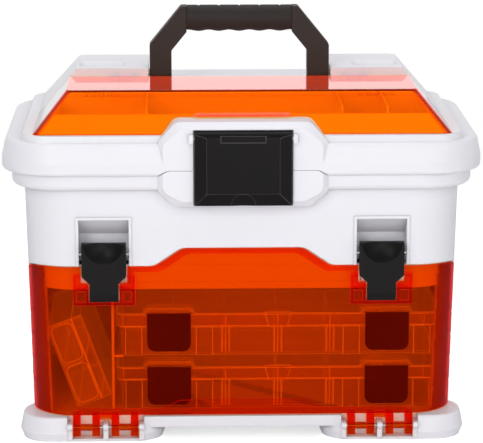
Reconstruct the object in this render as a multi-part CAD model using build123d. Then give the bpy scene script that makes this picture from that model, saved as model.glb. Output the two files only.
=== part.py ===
"""Tackle box with a lift-up lid, a see-through top cover, a drop-down front door and clear utility boxes.

Millimetres. X runs to the right, the front faces -Y and Z rises from the surface the case stands on.
Every piece is written to parts/NODE.step under the name of its node.
"""

import math
import os

from build123d import *

# Fits and gaps between pieces
PIN_FIT = 0.08          # radial play of a turning bore on its pin
PIN_SEAT = 0.04         # radial play where a pin is held
SEAT_GAP = 0.3          # piece that rests on another body's piece
RUN_GAP = 1.2           # moulding that swings past another
SIDE_GAP = 0.6          # knuckle beside knuckle
OVERRUN = 1.0           # cut or joint carried past a face

# Drafted case body
BODY_W = 474.0          # across the walls at the lid line
BODY_D = 290.0          # front to back at the lid line
BODY_CORNER_R = 50.0
BODY_DRAFT = 1.3        # degrees that each wall leans in towards the base
WALL = 3.2
BASE_H = 27.0
CABINET_H = 170.0
TUB_H = 107.0
TUB_FLOOR_DROP = 28.0   # tub floor below the tub's lower edge
TUB_TONGUE = 40.0       # tub's front wall runs down behind the door's edge
SKIRT_INSET = 8.0       # sunk lower tub behind the door

# Base and feet
FOOT_REACH_X = 244.5
FOOT_REACH_Y = 148.0
FOOT_L = 160.0
FOOT_D = 76.0
FOOT_R = 34.0
FOOT_LEAN = 7.0
FOOT_WALL = 7.0
ARCH_H = 15.0
APRON = 3.0             # plinth in front of the door's foot
RIB_PITCH = 75.0
RIB_T = 2.4
HINGE_ROOM = 14.0       # pocket behind the door's hinge line
HINGE_FLOOR = 3.5
HINGE_LUG_W = 5.6
HINGE_PORCH = 9.0       # pocket's front, before the feet

# Rim and flange
FLANGE_SIDE = 13.0
FLANGE_FRONT = 7.5
FLANGE_H = 19.0
FLANGE_DROP = 4.0       # top of the flange below the lid line
RIM_SIDE = 23.5
RIM_FRONT = 13.0
RIM_LAP = 6.0           # rim hangs below the lid line
RIM_H = 29.0
RIM_ROUND = 6.0
RIM_LEAN = 4.5          # rim's wall leans in from its bead to its top
BEAD_H = 14.0           # full bead, from the rim's lower edge
BEAD_TIP = 12.0         # bead's rounded ends beside the boss
RIM_PLAY = 2.0          # rim round the flange
LID_WALL = 3.2

# Latch boss at the middle of lid and tub
BOSS_FOOT_W = 184.0
BOSS_HEAD_W = 144.0
BOSS_DROP = 40.0        # boss below the lid line
BOSS_RISE = 52.0        # boss above the lid line
BOSS_FLANK = 6.5        # width of the boss's sloping flanks
BOSS_FLANK_RUN = 6.0    # depth of the flanks
BOSS_ROUND = 12.0
BOSS_DEPTH = 40.0

# Main latch
LATCH_W = 104.0
LATCH_T = 15.5
LATCH_SKIN = 3.0
LATCH_TOP = 43.0        # above the lid line
LATCH_BOTTOM = 37.0     # below the lid line
LATCH_HEAD_R = 8.0
LATCH_PIN_R = 2.5
LATCH_CATCH_W = 60.0
LATCH_CATCH = 4.0       # catch ledge on the tub
LATCH_CATCH_H = 5.0
LATCH_CATCH_RISE = 4.0  # ledge above the latch's lower edge
LATCH_FOOT = 10.0       # height of the sloping foot
LATCH_FOOT_RUN = 3.0
LATCH_SLOT_W = 48.0     # shallow slot on the head
LATCH_SLOT_H = 7.0
LATCH_SLOT_DEPTH = 0.8
LATCH_SCOOP = 24.0      # finger scoop on the face
LATCH_SCOOP_R = 90.0    # ball that shapes it
LATCH_SCOOP_DROP = 11.0 # scoop's middle below the latch's edge
LATCH_BEVEL = 13.0      # sloping bands along both sides and the foot
LATCH_BEVEL_DEPTH = 1.6
LATCH_EAR = 5.0
LATCH_EAR_R = 5.0
LATCH_PIN_REACH = LATCH_W / 2 + RUN_GAP + LATCH_EAR - 1

# Lid hinge
HINGE_PIN_R = 2.0
HINGE_BARREL_R = 4.5
KNUCKLE_W = 16.0

# Deck, cover and tray on the lid
PLATFORM_SIDE = 20.0    # platform foot inside the rim at the sides
PLATFORM_FRONT = 8.5
PLATFORM_H = 7.0
PLATFORM_LEAN_X = 4.0   # platform wall leans in over its height
PLATFORM_LEAN_Y = 2.5
PLATFORM_R = 36.0       # corners of the platform's foot
PLATFORM_TOP_R = 32.0
HOUSE_SIDE = 35.0       # foot of the raised house inside the rim
HOUSE_FRONT = 17.0
HOUSE_R = 7.0
SLOPE_RUN = 36.0        # house wall leans in over its height
COVER_H = 43.0
COVER_T = 2.6
DECK_H = 51.0
COVER_REAR_Y = -12.0
DECK_GAP = 7.0          # cover's rear edge to the deck's front face
COVER_PIN_R = 1.5
COVER_BARREL_R = 3.2
COVER_HINGE_X = 128.0
COVER_LUG_W = 5.0
COVER_TAB_W = 102.0
COVER_TAB_REACH = 6.0
COVER_TAB_H = 3.5
COVER_TOP_GAP = 0.4     # hinge barrel below the cover's top
TRAY_INSET = 5.0        # tray rim under the cover
TRAY_RIM_H = 19.0
TRAY_LEDGE = 4.0        # flat top of the tray's rim
TRAY_DEPTH = 24.0       # tray floor below the platform
TRAY_WALL = 2.2
TRAY_SLOPE_WALL = 3.5   # sloping rim, measured level
TRAY_REAR_GAP = 1.0
DIVIDER_RISE = 7.0      # dividers above the tray's rim
DIVIDER_T = 2.0
TRAY_DIVIDERS = (-103.0, 108.0, 157.0)

# Scooped rests in the deck, either side of the handle
SCOOP_W = 54.0
SCOOP_D = 42.0
SCOOP_DEPTH = 9.0
SCOOP_R = 9.0
SCOOP_INNER = 127.0     # from the middle of the case
SCOOP_FRONT = 14.0      # behind the deck's front face
DECK_RIBS = 5
DECK_RIB_R = 1.8
DECK_RIB_PITCH = 9.0

# Carrying handle
HANDLE_W = 201.0
HANDLE_LEG = 24.5
HANDLE_T = 20.0
HANDLE_RISE = 75.0      # top above its pivot
HANDLE_BAR = 28.0
HANDLE_CHAMFER_X = 35.0
HANDLE_CHAMFER_Z = 43.0
HANDLE_PIN_R = 4.0
HANDLE_PIVOT_Y = 14.0
HANDLE_LEG_R = 11.5
HANDLE_DIP = 7.0        # pivot below the deck
HANDLE_BEND_R = 4.0
WELL_GAP = 1.5
WELL_UNDER = 2.0        # well's floor below the legs
GRIP_L = 118.0
GRIP_SKIN = 3.0
GRIP_WAVES = 4
GRIP_SWELL = 1.6
GRIP_COLLAR = 12.0
HANDLE_BOSS_T = 4.0     # boss behind the well's wall at each pin

# Front door
DOOR_T = 3.0
DOOR_WRAP = 62.0        # return along each side, from the front
DOOR_TOP_GAP = 1.5
DOOR_STEP_H = 20.0      # raised middle of the top edge
DOOR_STEP_HEAD = 130.0
DOOR_STEP_FOOT = 190.0
DOOR_STEP_R = 16.0
DOOR_AXIS_OUT = 8.0     # hinge line in front of the door's foot
DOOR_AXIS_Z = 17.0
DOOR_PIN_R = 2.0
FINGER_R = 4.5
FINGER_W = 8.5
FINGER_DROP = 9.0       # finger tip below the hinge line
FINGER_HEEL = 6.0
FINGER_BAR = 0.8        # cross bar thinner than the fingers' curve
FINGER_WEB = 4.0
FINGER_PITCH = 21.0
DOOR_HEM = 2.0
DOOR_HEM_H = 6.0
DOOR_HEM_STEP = 9.5     # hem rises in the middle
DOOR_HEM_HEAD = 138.0
DOOR_HEM_FOOT = 178.0
DOOR_HEM_ROUND = 8.0
DOOR_LIP = 5.5          # thick band along the top edge
GRIP_GROOVES = 4
GROOVE_PITCH = 26.5
GROOVE_H = 8.0
GROOVE_DEPTH = 1.6
GROOVE_FIRST = 27.0     # above the base

# Door latches
SIDE_INSET = 87.0       # door latches and hinges in from the case's sides
DLATCH_W = 48.0
DLATCH_NECK_W = 31.0
DLATCH_RISE = 12.5      # pad above the pivot
DLATCH_PAD_DROP = 31.0  # pad below the pivot
DLATCH_DROP = 51.0      # neck below the pivot
DLATCH_PIN_R = 2.0
DLATCH_PROUD = 9.0      # face in front of the tub's wall
DLATCH_SKIN = 4.0
DLATCH_LIP = 8.0        # foot of the neck, front to back
DLATCH_SCOOP = 22.0     # thumb scoop on the face
DLATCH_SCOOP_R = 30.0   # ball that shapes it
DLATCH_PIVOT_RISE = 13.0
DLATCH_PIVOT_IN = 2.0   # pivot behind the tub's wall
POCKET_W = 54.0
POCKET_H = 51.0
POCKET_DEPTH = 26.0
POCKET_SILL = 0.6       # share of the pocket's height below its sloping ceiling
POCKET_PROUD = 1.0      # raised frame round the pocket
PIN_CAP = 0.4           # wall left beyond a pin's end
CATCH_W = 67.0
CATCH_H = 34.0
CATCH_T = 5.0
CATCH_BAR = 3.5
CATCH_MID = 5.5         # bar between the windows
CATCH_WINDOW = 12.0     # lower window
CATCH_FLOOR = 1.0

# Cabinet inside
JAMB_INSET = 6.5
JAMB_T = 2.5
JAMB_REACH = 42.0
RAIL_H = 2.5
RAIL_PITCH = 29.0
RAIL_REACH = 4.0
SIDE_BAY = 88.5         # outer wall to the partition
PARTITION_T = 3.0

# Utility boxes
BOX_END_PLAY = 4.0      # box to jamb
BOX_FRONT_ROOM = 26.5   # outer face of the door's foot to the box
BOX_REAR_ROOM = 22.5
BOX_H = 48.0
BOX_LID_H = 15.0
BOX_HOOD = 6.0          # lid rises over each latch
BOX_HOOD_W = 58.0
BOX_HOOD_D = 18.0
BOX_POST_W = 18.0       # posts on the front wall, either side of each latch
BOX_POST_T = 1.6
BOX_POST_GAP = 6.0
BOX_TAB_W = 30.0
BOX_TAB_OUT = 4.0
BOX_TAPER = 3.0         # base narrower at its floor
BOX_WALL = 1.8
BOX_R = 8.0
BOX_GAP = 0.3
BOX_PITCH = 61.0
BOX_LATCH_W = 48.0
BOX_LATCH_T = 2.6
BOX_LATCH_FOOT = 5.5
BOX_LATCH_SPREAD = 0.673  # share of the box's width between its latches
BOX_LATCH_R = 9.0
BOX_CELLS = 6
BOX_SLOT = 8.0          # between the two ribs that hold a divider
BOX_RIB_T = 1.2
BOX_RIB_REACH = 3.0

# Small two-compartment case in the side bay
CASE_R = 3.0
CASE_PANEL = 0.8        # raised panel on each cell's front
CASE_LID = 12.0
CASE_LEAN = 20.0
CASE_WALL = 1.6

# Heights and places that follow from the sizes
TUB_Z = BASE_H + CABINET_H
LID_Z = TUB_Z + TUB_H
TUB_FLOOR_Z = TUB_Z - TUB_FLOOR_DROP
FLANGE_TOP = LID_Z - FLANGE_DROP
DRAFT_RUN = math.tan(math.radians(BODY_DRAFT))
RIM_W = BODY_W + 2 * RIM_SIDE
RIM_D = BODY_D + 2 * RIM_FRONT
RIM_TOP = LID_Z + RIM_H
PLATFORM_Z = RIM_TOP + PLATFORM_H
COVER_Z = PLATFORM_Z + COVER_H
DECK_Z = PLATFORM_Z + DECK_H
HINGE_Y = RIM_D / 2 + HINGE_PIN_R
HINGE_AXIS_Z = LID_Z - RIM_LAP + HINGE_PIN_R
CASE_REACH = HINGE_Y + HINGE_BARREL_R   # farthest point behind, and the latch's face in front
BEAD_Z = LID_Z - RIM_LAP + BEAD_H
DOOR_HINGE_X = DLATCH_X = BODY_W / 2 - SIDE_INSET
HINGE_PITCH = BODY_W - 2 * SIDE_INSET


def half_w(z):
    """Half the body's width at height z."""
    return BODY_W / 2 - (LID_Z - z) * DRAFT_RUN


def half_d(z):
    """Half the body's depth at height z."""
    return BODY_D / 2 - (LID_Z - z) * DRAFT_RUN


DOOR_AXIS_Y = -half_d(BASE_H) - DOOR_AXIS_OUT
DOOR_RADIUS = TUB_Z - DOOR_TOP_GAP - DOOR_AXIS_Z
DOOR_RETURN_Y = -half_d(BASE_H) + DOOR_WRAP
BOSS_Y = -RIM_D / 2
LATCH_Y = -CASE_REACH
LATCH_PIVOT_Y = LATCH_Y + LATCH_HEAD_R
LATCH_PIVOT_Z = LID_Z + LATCH_TOP - LATCH_HEAD_R
COVER_AXIS_Z = COVER_Z - COVER_BARREL_R - COVER_TOP_GAP
COVER_AXIS_Y = COVER_REAR_Y + COVER_PIN_R + COVER_TOP_GAP
DECK_Y = COVER_REAR_Y + DECK_GAP
TRAY_REAR_Y = DECK_Y - TRAY_REAR_GAP
WELL_HALF = HANDLE_W / 2 + WELL_GAP
HANDLE_PIVOT_Z = DECK_Z - HANDLE_DIP
WELL_Z = HANDLE_PIVOT_Z - HANDLE_LEG_R - WELL_UNDER
DLATCH_PIVOT_Z = TUB_Z + DLATCH_PIVOT_RISE
DLATCH_PIVOT_Y = -half_d(DLATCH_PIVOT_Z) + DLATCH_PIVOT_IN
PARTITION_X = -half_w(BASE_H) + SIDE_BAY
BOX_LEFT = PARTITION_X + PARTITION_T / 2 + BOX_END_PLAY / 2
BOX_RIGHT = half_w(BASE_H) - JAMB_INSET - JAMB_T - BOX_END_PLAY
BOX_W = BOX_RIGHT - BOX_LEFT
BOX_LATCH_PITCH = BOX_W * BOX_LATCH_SPREAD
BOX_FRONT_Y = -half_d(BASE_H) + BOX_FRONT_ROOM
BOX_D = 2 * half_d(BASE_H) - BOX_FRONT_ROOM - BOX_REAR_ROOM - WALL
CASE_D = BOX_D * 2 / 3
CASE_W = SIDE_BAY * 0.46
CASE_L = SIDE_BAY * 1.1
RIM_R = BODY_CORNER_R + RIM_FRONT
SEAM_X = BOSS_FOOT_W / 2 + RUN_GAP
SHELF_Z = BASE_H + BOX_PITCH


def block(x0, x1, y0, y1, z0, z1):
    """Block between two opposite corners."""
    return Pos((x0 + x1) / 2, (y0 + y1) / 2, (z0 + z1) / 2) * Box(abs(x1 - x0), abs(y1 - y0), abs(z1 - z0))


def rod(radius, x0, x1, y, z):
    """Round bar along X."""
    return Pos((x0 + x1) / 2, y, z) * Rot(0, 90, 0) * Cylinder(radius, abs(x1 - x0))


def outline(points, radius=0.0, rounded=None):
    """Closed face through the points; the corners in rounded, or all of them, are rounded."""
    face = make_face(Polyline(*points, points[0]))
    if not radius:
        return face
    chosen = points if rounded is None else [points[i] for i in rounded]
    corners = [v for v in face.vertices() if any(abs(v.X - u) + abs(v.Y - w) < 1e-6 for u, w in chosen)]
    return fillet(corners, radius)


def front_prism(points, y0, y1, radius=0.0, rounded=None):
    """Prism from y0 to y1 with an outline of (x, z) points, as seen from the front."""
    return Pos(0, y1, 0) * extrude(Plane.XZ * outline(points, radius, rounded), y1 - y0)


def side_prism(points, x0, x1, radius=0.0, rounded=None):
    """Prism from x0 to x1 with an outline of (y, z) points, as seen from the side."""
    return Pos(x0, 0, 0) * extrude(Plane.YZ * outline(points, radius, rounded), x1 - x0)


def plan(width, depth, radius, z):
    """Rounded rectangle at height z."""
    return Pos(0, 0, z) * RectangleRounded(width, depth, radius)


def rounded_loft(w0, d0, r0, z0, w1, d1, r1, z1):
    """Tapered block between two rounded rectangles."""
    return loft([plan(w0, d0, r0, z0), plan(w1, d1, r1, z1)], ruled=True)


def drafted(z0, z1, inset=0.0):
    """Solid inside the drafted body's walls between two heights, drawn in by inset."""
    radius = BODY_CORNER_R - inset
    ends = [(2 * (half_w(z) - inset), 2 * (half_d(z) - inset), radius, z) for z in (z0, z1)]
    return rounded_loft(*ends[0], *ends[1])


def house(z0, z1, inset=0.0):
    """Sloping raised house on the lid between two heights above the platform, drawn in by inset."""
    ends = []
    for z in (z0, z1):
        run = inset + (z - PLATFORM_Z) * SLOPE_RUN / COVER_H
        ends.append((RIM_W - 2 * (HOUSE_SIDE + run), RIM_D - 2 * (HOUSE_FRONT + run), HOUSE_R, z))
    return rounded_loft(*ends[0], *ends[1])


def step_prism(foot_w, head_w, z_foot, z_head, z_low, radius):
    """Prism through the front wall, with a raised middle and curved shoulders on its top edge."""
    wing = foot_w / 2 + 2 * radius
    points = [(-wing, z_low), (-wing, z_foot), (-foot_w / 2, z_foot), (-head_w / 2, z_head),
              (head_w / 2, z_head), (foot_w / 2, z_foot), (wing, z_foot), (wing, z_low)]
    return front_prism(points, -BODY_D, -BODY_D / 4, radius, (2, 3, 4, 5))


def mirrored(solid):
    """The piece and its mirror image across the middle of the case."""
    return solid + mirror(solid, Plane.YZ)


def save(name, shape):
    """Writes one node, as one solid or a group of separate solids."""
    solids = shape.solids()
    export_step(solids[0] if len(solids) == 1 else Compound(children=list(solids)), f"parts/{name}.step")
    print(name, len(solids), round(sum(solid.volume for solid in solids)))


# Base: a plinth under the cabinet on four rounded foot lobes, ribbed and open below
def foot_places():
    """Middles of the four foot lobes."""
    x, y = FOOT_REACH_X - FOOT_L / 2, FOOT_REACH_Y - FOOT_D / 2
    return [Pos(sx * x, sy * y, 0) for sx in (-1, 1) for sy in (-1, 1)]


def make_base():
    """Plinth with an arch between its feet, ribs below and pockets for the door's hinges."""
    apron = 2 * half_d(BASE_H) + 2 * APRON
    outer = rounded_loft(2 * half_w(0), apron, BODY_CORNER_R, ARCH_H,
                         2 * half_w(BASE_H), apron, BODY_CORNER_R, BASE_H)
    inner = extrude(plan(2 * half_w(0) - 2 * WALL, apron - 2 * WALL, BODY_CORNER_R - WALL, ARCH_H - 1),
                    BASE_H - WALL - ARCH_H + 1)
    small_l, small_d, small_r = FOOT_L - FOOT_LEAN, FOOT_D - FOOT_LEAN, FOOT_R - FOOT_LEAN / 2
    lobe = loft([plan(small_l, small_d, small_r, 0), plan(FOOT_L, FOOT_D, FOOT_R, BASE_H / 3),
                 plan(small_l, small_d, small_r, BASE_H)], ruled=True)
    lobe = fillet(lobe.faces().sort_by(Axis.Z)[-1].edges(), FOOT_LEAN / 2)
    hollow = extrude(plan(small_l - 2 * FOOT_WALL, small_d - 2 * FOOT_WALL, small_r - FOOT_WALL, -1),
                     BASE_H - WALL + 1)
    for place in foot_places():
        outer += place * lobe
        inner += place * hollow
    reach = 2 * FINGER_PITCH
    pocket, backing = None, None
    for side in (-1, 1):
        x = side * DOOR_HINGE_X
        cut = block(x - reach, x + reach, -FOOT_REACH_Y - HINGE_PORCH, DOOR_AXIS_Y + HINGE_ROOM,
                    HINGE_FLOOR, BASE_H + 1)
        back = block(x - reach - WALL, x + reach + WALL, -FOOT_REACH_Y, DOOR_AXIS_Y + HINGE_ROOM + WALL, 0, BASE_H)
        pocket, backing = (cut, back) if pocket is None else (pocket + cut, backing + back)
    base = outer - inner
    for x in (-2, -1, 1, 2):
        base += block(x * RIB_PITCH - RIB_T / 2, x * RIB_PITCH + RIB_T / 2, -apron / 2 + WALL / 2,
                      apron / 2 - WALL / 2, ARCH_H, BASE_H - WALL / 2)
    base += backing & outer
    base -= pocket
    for side in (-1, 1):
        x = side * DOOR_HINGE_X
        for lug in (-reach, -HINGE_LUG_W / 2, reach - HINGE_LUG_W):
            base += block(x + lug, x + lug + HINGE_LUG_W, DOOR_AXIS_Y, DOOR_AXIS_Y + HINGE_ROOM + 1, HINGE_FLOOR - 1,
                          DOOR_AXIS_Z + FINGER_R - 1)
            base += rod(FINGER_R - 1, x + lug, x + lug + HINGE_LUG_W, DOOR_AXIS_Y, DOOR_AXIS_Z)
        base -= rod(DOOR_PIN_R + PIN_SEAT, x - reach, x + reach, DOOR_AXIS_Y, DOOR_AXIS_Z)
    return base


# Door pins
def make_door_pins():
    """One pin in each of the door's hinges."""
    reach = 2 * FINGER_PITCH
    return mirrored(rod(DOOR_PIN_R, DOOR_HINGE_X - reach, DOOR_HINGE_X + reach, DOOR_AXIS_Y, DOOR_AXIS_Z))


def swing(radius):
    """Cylinder about the door's hinge line, as wide as the case."""
    return rod(radius, -BODY_W / 2 - 1, BODY_W / 2 + 1, DOOR_AXIS_Y, DOOR_AXIS_Z)


def door_step(gap, z_low):
    """Raised middle of the door's top edge, grown by gap."""
    z_foot = TUB_Z - DOOR_TOP_GAP + gap
    return step_prism(DOOR_STEP_FOOT + 2 * gap, DOOR_STEP_HEAD + 2 * gap, z_foot, z_foot + DOOR_STEP_H, z_low,
                      DOOR_STEP_R)


def dlatch_slot(x, gap, y0, y1):
    """Stepped slot that clears a closed door latch."""
    half, neck = DLATCH_W / 2 + gap, DLATCH_NECK_W / 2 + gap
    pad_z = DLATCH_PIVOT_Z - DLATCH_PAD_DROP - gap
    neck_z = DLATCH_PIVOT_Z - DLATCH_DROP - gap
    top = TUB_Z + DOOR_STEP_H
    return block(x - half, x + half, y0, y1, pad_z, top) + block(x - neck, x + neck, y0, y1, neck_z, top)


# Front door: a drafted shell that wraps both front corners
def make_door():
    """Drafted shell that wraps both front corners, with a thick rim, hem, catches and fingers."""
    z0 = BASE_H + RUN_GAP
    top = TUB_Z + DOOR_STEP_H
    shell = drafted(z0, top) - drafted(z0 - 1, top + 1, DOOR_T)
    shell &= block(-BODY_W, BODY_W, -BODY_D, DOOR_RETURN_Y - RUN_GAP, 0, top)
    flat = half_w(z0) - BODY_CORNER_R
    low, high = z0 + DOOR_HEM_H, z0 + DOOR_HEM_H + DOOR_HEM_STEP
    foot, head = DOOR_HEM_FOOT / 2, DOOR_HEM_HEAD / 2
    hem = drafted(z0, top, DOOR_T / 2) - drafted(z0 - 1, top + 1, DOOR_T + DOOR_HEM)
    hem &= front_prism([(-flat, z0), (flat, z0), (flat, low), (foot, low), (head, high), (-head, high), (-foot, low),
                        (-flat, low)], -BODY_D, 0, DOOR_HEM_ROUND, (3, 4, 5, 6))
    rim = drafted(z0, top, DOOR_T / 2) - drafted(z0 - 1, top + 1, DOOR_T + DOOR_HEM)
    rim &= door_step(0, TUB_Z - DOOR_STEP_H) - door_step(-DOOR_LIP, TUB_Z - DOOR_STEP_H - 1)
    door = (shell + hem + rim) & (swing(DOOR_RADIUS) + door_step(0, z0 - 1))
    for sx in (-1, 1):
        x = sx * DLATCH_X
        front = -half_d(DLATCH_PIVOT_Z) - CATCH_T
        catch_z = DLATCH_PIVOT_Z - DLATCH_DROP - RUN_GAP - CATCH_BAR
        frame = block(x - CATCH_W / 2, x + CATCH_W / 2, front, -half_d(BASE_H), catch_z, catch_z + CATCH_H)
        half = CATCH_W / 2 - CATCH_BAR
        sill = catch_z + CATCH_BAR
        for z, z1 in ((sill, sill + CATCH_WINDOW), (sill + CATCH_WINDOW + CATCH_MID, catch_z + CATCH_H - CATCH_BAR)):
            frame -= block(x - half, x + half, front - 1, front + CATCH_T - CATCH_FLOOR, z, z1)
        neck = DLATCH_NECK_W / 2 + RUN_GAP
        frame += block(x - neck - CATCH_BAR, x + neck + CATCH_BAR, front, -half_d(BASE_H), catch_z, catch_z + CATCH_H)
        frame -= drafted(z0, top, DOOR_T / 2)
        door += frame
        door -= dlatch_slot(x, RUN_GAP, front - 1, 0)
    for side in (-1, 1):
        for i in range(GRIP_GROOVES):
            z = BASE_H + GROOVE_FIRST + i * GROOVE_PITCH
            bottom, mouth = side * (half_w(z) - GROOVE_DEPTH), side * (half_w(z) + GROOVE_DEPTH)
            door -= front_prism([(mouth, z - GROOVE_H / 2), (bottom, z - GROOVE_DEPTH), (bottom, z + GROOVE_DEPTH),
                                 (mouth, z + GROOVE_H / 2)], -BODY_D, 0)
    for sx in (-1, 1):
        door += door_fingers(sx * DOOR_HINGE_X)
    for sx in (-1, 1):
        x = sx * DOOR_HINGE_X
        door -= rod(DOOR_PIN_R + PIN_FIT, x - 2 * FINGER_PITCH, x + 2 * FINGER_PITCH, DOOR_AXIS_Y, DOOR_AXIS_Z)
    return door


def door_fingers(x):
    """Four knuckle fingers in two joined pairs, hanging from the door's foot."""
    z_arm = BASE_H + RUN_GAP
    foot_y = -half_d(BASE_H)
    root_y = foot_y + DOOR_T / 2
    tip_z = DOOR_AXIS_Z - FINGER_DROP
    profile = [(DOOR_AXIS_Y - FINGER_R, tip_z), (DOOR_AXIS_Y + OVERRUN, tip_z), (DOOR_AXIS_Y + FINGER_R, DOOR_AXIS_Z),
               (root_y, z_arm), (root_y, z_arm + FINGER_HEEL), (DOOR_AXIS_Y - FINGER_R, z_arm + OVERRUN)]
    web = [(foot_y - DOOR_T, z_arm - FINGER_WEB), (root_y, z_arm - OVERRUN), (root_y, z_arm + FINGER_WEB),
           (foot_y - DOOR_T, z_arm + FINGER_WEB)]
    hinge = side_prism(web, x - FINGER_PITCH / 2, x + FINGER_PITCH / 2)
    for i in (-1.5, -0.5, 0.5, 1.5):
        x0 = x + i * FINGER_PITCH - FINGER_W / 2
        hinge += side_prism(profile, x0, x0 + FINGER_W)
    for i in (-1, 1):
        hinge += rod(FINGER_R - FINGER_BAR, x + i * FINGER_PITCH * 0.5, x + i * FINGER_PITCH * 1.5,
                     DOOR_AXIS_Y, DOOR_AXIS_Z)
    return hinge


# Cabinet: back and side walls, with jambs behind the door's returns and rails for the boxes
def make_cabinet():
    """Back and side walls, jambs behind the door's returns and rails for the boxes."""
    shell = drafted(BASE_H, TUB_Z) - drafted(BASE_H - 1, TUB_Z + 1, WALL)
    shell &= block(-BODY_W, BODY_W, DOOR_RETURN_Y, BODY_D, BASE_H, TUB_Z)
    inner = JAMB_INSET + JAMB_T
    jamb = drafted(BASE_H, TUB_FLOOR_Z, JAMB_INSET) - drafted(BASE_H - 1, TUB_FLOOR_Z + 1, inner)
    jamb &= block(-BODY_W, BODY_W, DOOR_RETURN_Y - JAMB_REACH, DOOR_RETURN_Y + WALL, BASE_H, TUB_FLOOR_Z)
    web = drafted(BASE_H, TUB_FLOOR_Z, WALL / 2) - drafted(BASE_H - 1, TUB_FLOOR_Z + 1, inner)
    web &= block(-BODY_W, BODY_W, DOOR_RETURN_Y, DOOR_RETURN_Y + WALL, BASE_H, TUB_FLOOR_Z)
    cabinet = shell + jamb + web
    for side in (-1, 1):
        for i in (-1, 0, 1):
            z = SHELF_Z + i * RAIL_PITCH
            reach = BOX_RIGHT + SEAT_GAP if (side > 0 and i) else half_w(z) - inner - RAIL_REACH
            if side > 0 and i == 0:
                reach = BOX_RIGHT - RAIL_REACH
            jamb_y = DOOR_RETURN_Y - JAMB_REACH + RAIL_REACH
            for y0, y1, root in ((jamb_y, DOOR_RETURN_Y + OVERRUN, inner - JAMB_T / 2),
                                 (DOOR_RETURN_Y, BOX_FRONT_Y + BOX_D, WALL / 2)):
                rail = block(side * reach, side * (half_w(z) - root), y0, y1, z - RAIL_H, z)
                cabinet += rail & drafted(BASE_H, TUB_Z, root)
    return cabinet


def make_partition():
    """Upright panel between the side bay and the boxes, with a ledge for the upper box."""
    panel = block(PARTITION_X - PARTITION_T / 2, PARTITION_X + PARTITION_T / 2, BOX_FRONT_Y + RAIL_REACH,
                  half_d(BASE_H) - WALL - RUN_GAP, BASE_H, TUB_FLOOR_Z)
    ledge = block(PARTITION_X, BOX_LEFT + 2 * RAIL_REACH, BOX_FRONT_Y + RAIL_REACH, BOX_FRONT_Y + BOX_D,
                  SHELF_Z - RAIL_H, SHELF_Z)
    return panel + ledge


# Utility boxes
def box_place(level):
    """Middle of a utility box's underside; level 0 stands on the base, level 1 on the ledges."""
    return Pos(BOX_LEFT + BOX_W / 2, BOX_FRONT_Y + BOX_D / 2, BASE_H + level * BOX_PITCH)


def box_latch_places():
    """Middles of a box's two latches along its front."""
    return (-BOX_LATCH_PITCH / 2, BOX_LATCH_PITCH / 2)


def box_divider_places():
    """Middles of a box's dividers along its front."""
    w = BOX_W - 2 * (2 * BOX_WALL + BOX_GAP) - BOX_TAPER
    return [(i / BOX_CELLS - 0.5) * w for i in range(1, BOX_CELLS)]


def make_box_base():
    """Tapered tray with a wall along its middle, posts beside the latches and rib pairs for the dividers."""
    w, d = BOX_W - 2 * (BOX_WALL + BOX_GAP), BOX_D - 2 * (BOX_WALL + BOX_GAP)
    h = BOX_H - BOX_WALL - BOX_GAP
    outer = rounded_loft(w - BOX_TAPER, d - BOX_TAPER, BOX_R, 0, w, d, BOX_R, h)
    w_in, d_in, r_in = w - 2 * BOX_WALL, d - 2 * BOX_WALL, BOX_R - BOX_WALL
    inner = rounded_loft(w_in - BOX_TAPER, d_in - BOX_TAPER, r_in, BOX_WALL, w_in, d_in, r_in, h + 1)
    middle = block(-w_in / 2, w_in / 2, -BOX_WALL / 2, BOX_WALL / 2, BOX_WALL / 2, h - BOX_WALL)
    base = outer - inner + (middle & outer)
    for x in box_latch_places():
        for side in (-1, 1):
            x0 = x + side * (BOX_LATCH_W / 2 + BOX_POST_GAP)
            post = block(x0, x0 + side * BOX_POST_W, -d / 2 - BOX_POST_T + BOX_TAPER / 2, -d / 2 + BOX_WALL, 0,
                         BOX_H - BOX_LID_H - BOX_GAP)
            base += post
    for x in box_divider_places():
        for side in (-1, 1):
            rib_x, wall_y = x + side * BOX_SLOT / 2, -d / 2 + BOX_WALL
            base += block(rib_x - BOX_RIB_T / 2, rib_x + BOX_RIB_T / 2, wall_y, wall_y + BOX_RIB_REACH, BOX_WALL / 2,
                          BOX_H - BOX_LID_H)
    return base


def make_box_lid():
    """Shallow lid with a hood over each latch and a thumb tab in the middle of its front."""
    h, front = BOX_H, -BOX_D / 2
    lid = extrude(plan(BOX_W, BOX_D, BOX_R + BOX_WALL, h - BOX_LID_H), BOX_LID_H)
    hollow = extrude(plan(BOX_W - 2 * BOX_WALL, BOX_D - 2 * BOX_WALL, BOX_R, h - BOX_LID_H - 1),
                     BOX_LID_H + 1 - BOX_WALL)
    for x in box_latch_places():
        for grow, shell in ((0, True), (BOX_WALL, False)):
            half, top = BOX_HOOD_W / 2 - grow, h + BOX_HOOD - grow
            hood = front_prism([(x - half, h - BOX_LID_H / 2), (x + half, h - BOX_LID_H / 2), (x + half, h),
                                (x + half - BOX_HOOD, top), (x - half + BOX_HOOD, top), (x - half, h)],
                               front + grow, front + BOX_HOOD_D - grow)
            if shell:
                lid += hood
            else:
                hollow += hood
    foot, head = BOX_TAB_W / 3, BOX_TAB_W / 2
    tab = front_prism([(-head, h + BOX_WALL), (head, h + BOX_WALL), (foot, h - BOX_LID_H), (-foot, h - BOX_LID_H)],
                      front - BOX_TAB_OUT, front + BOX_WALL / 2, BOX_WALL)
    return lid - hollow + tab


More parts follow.
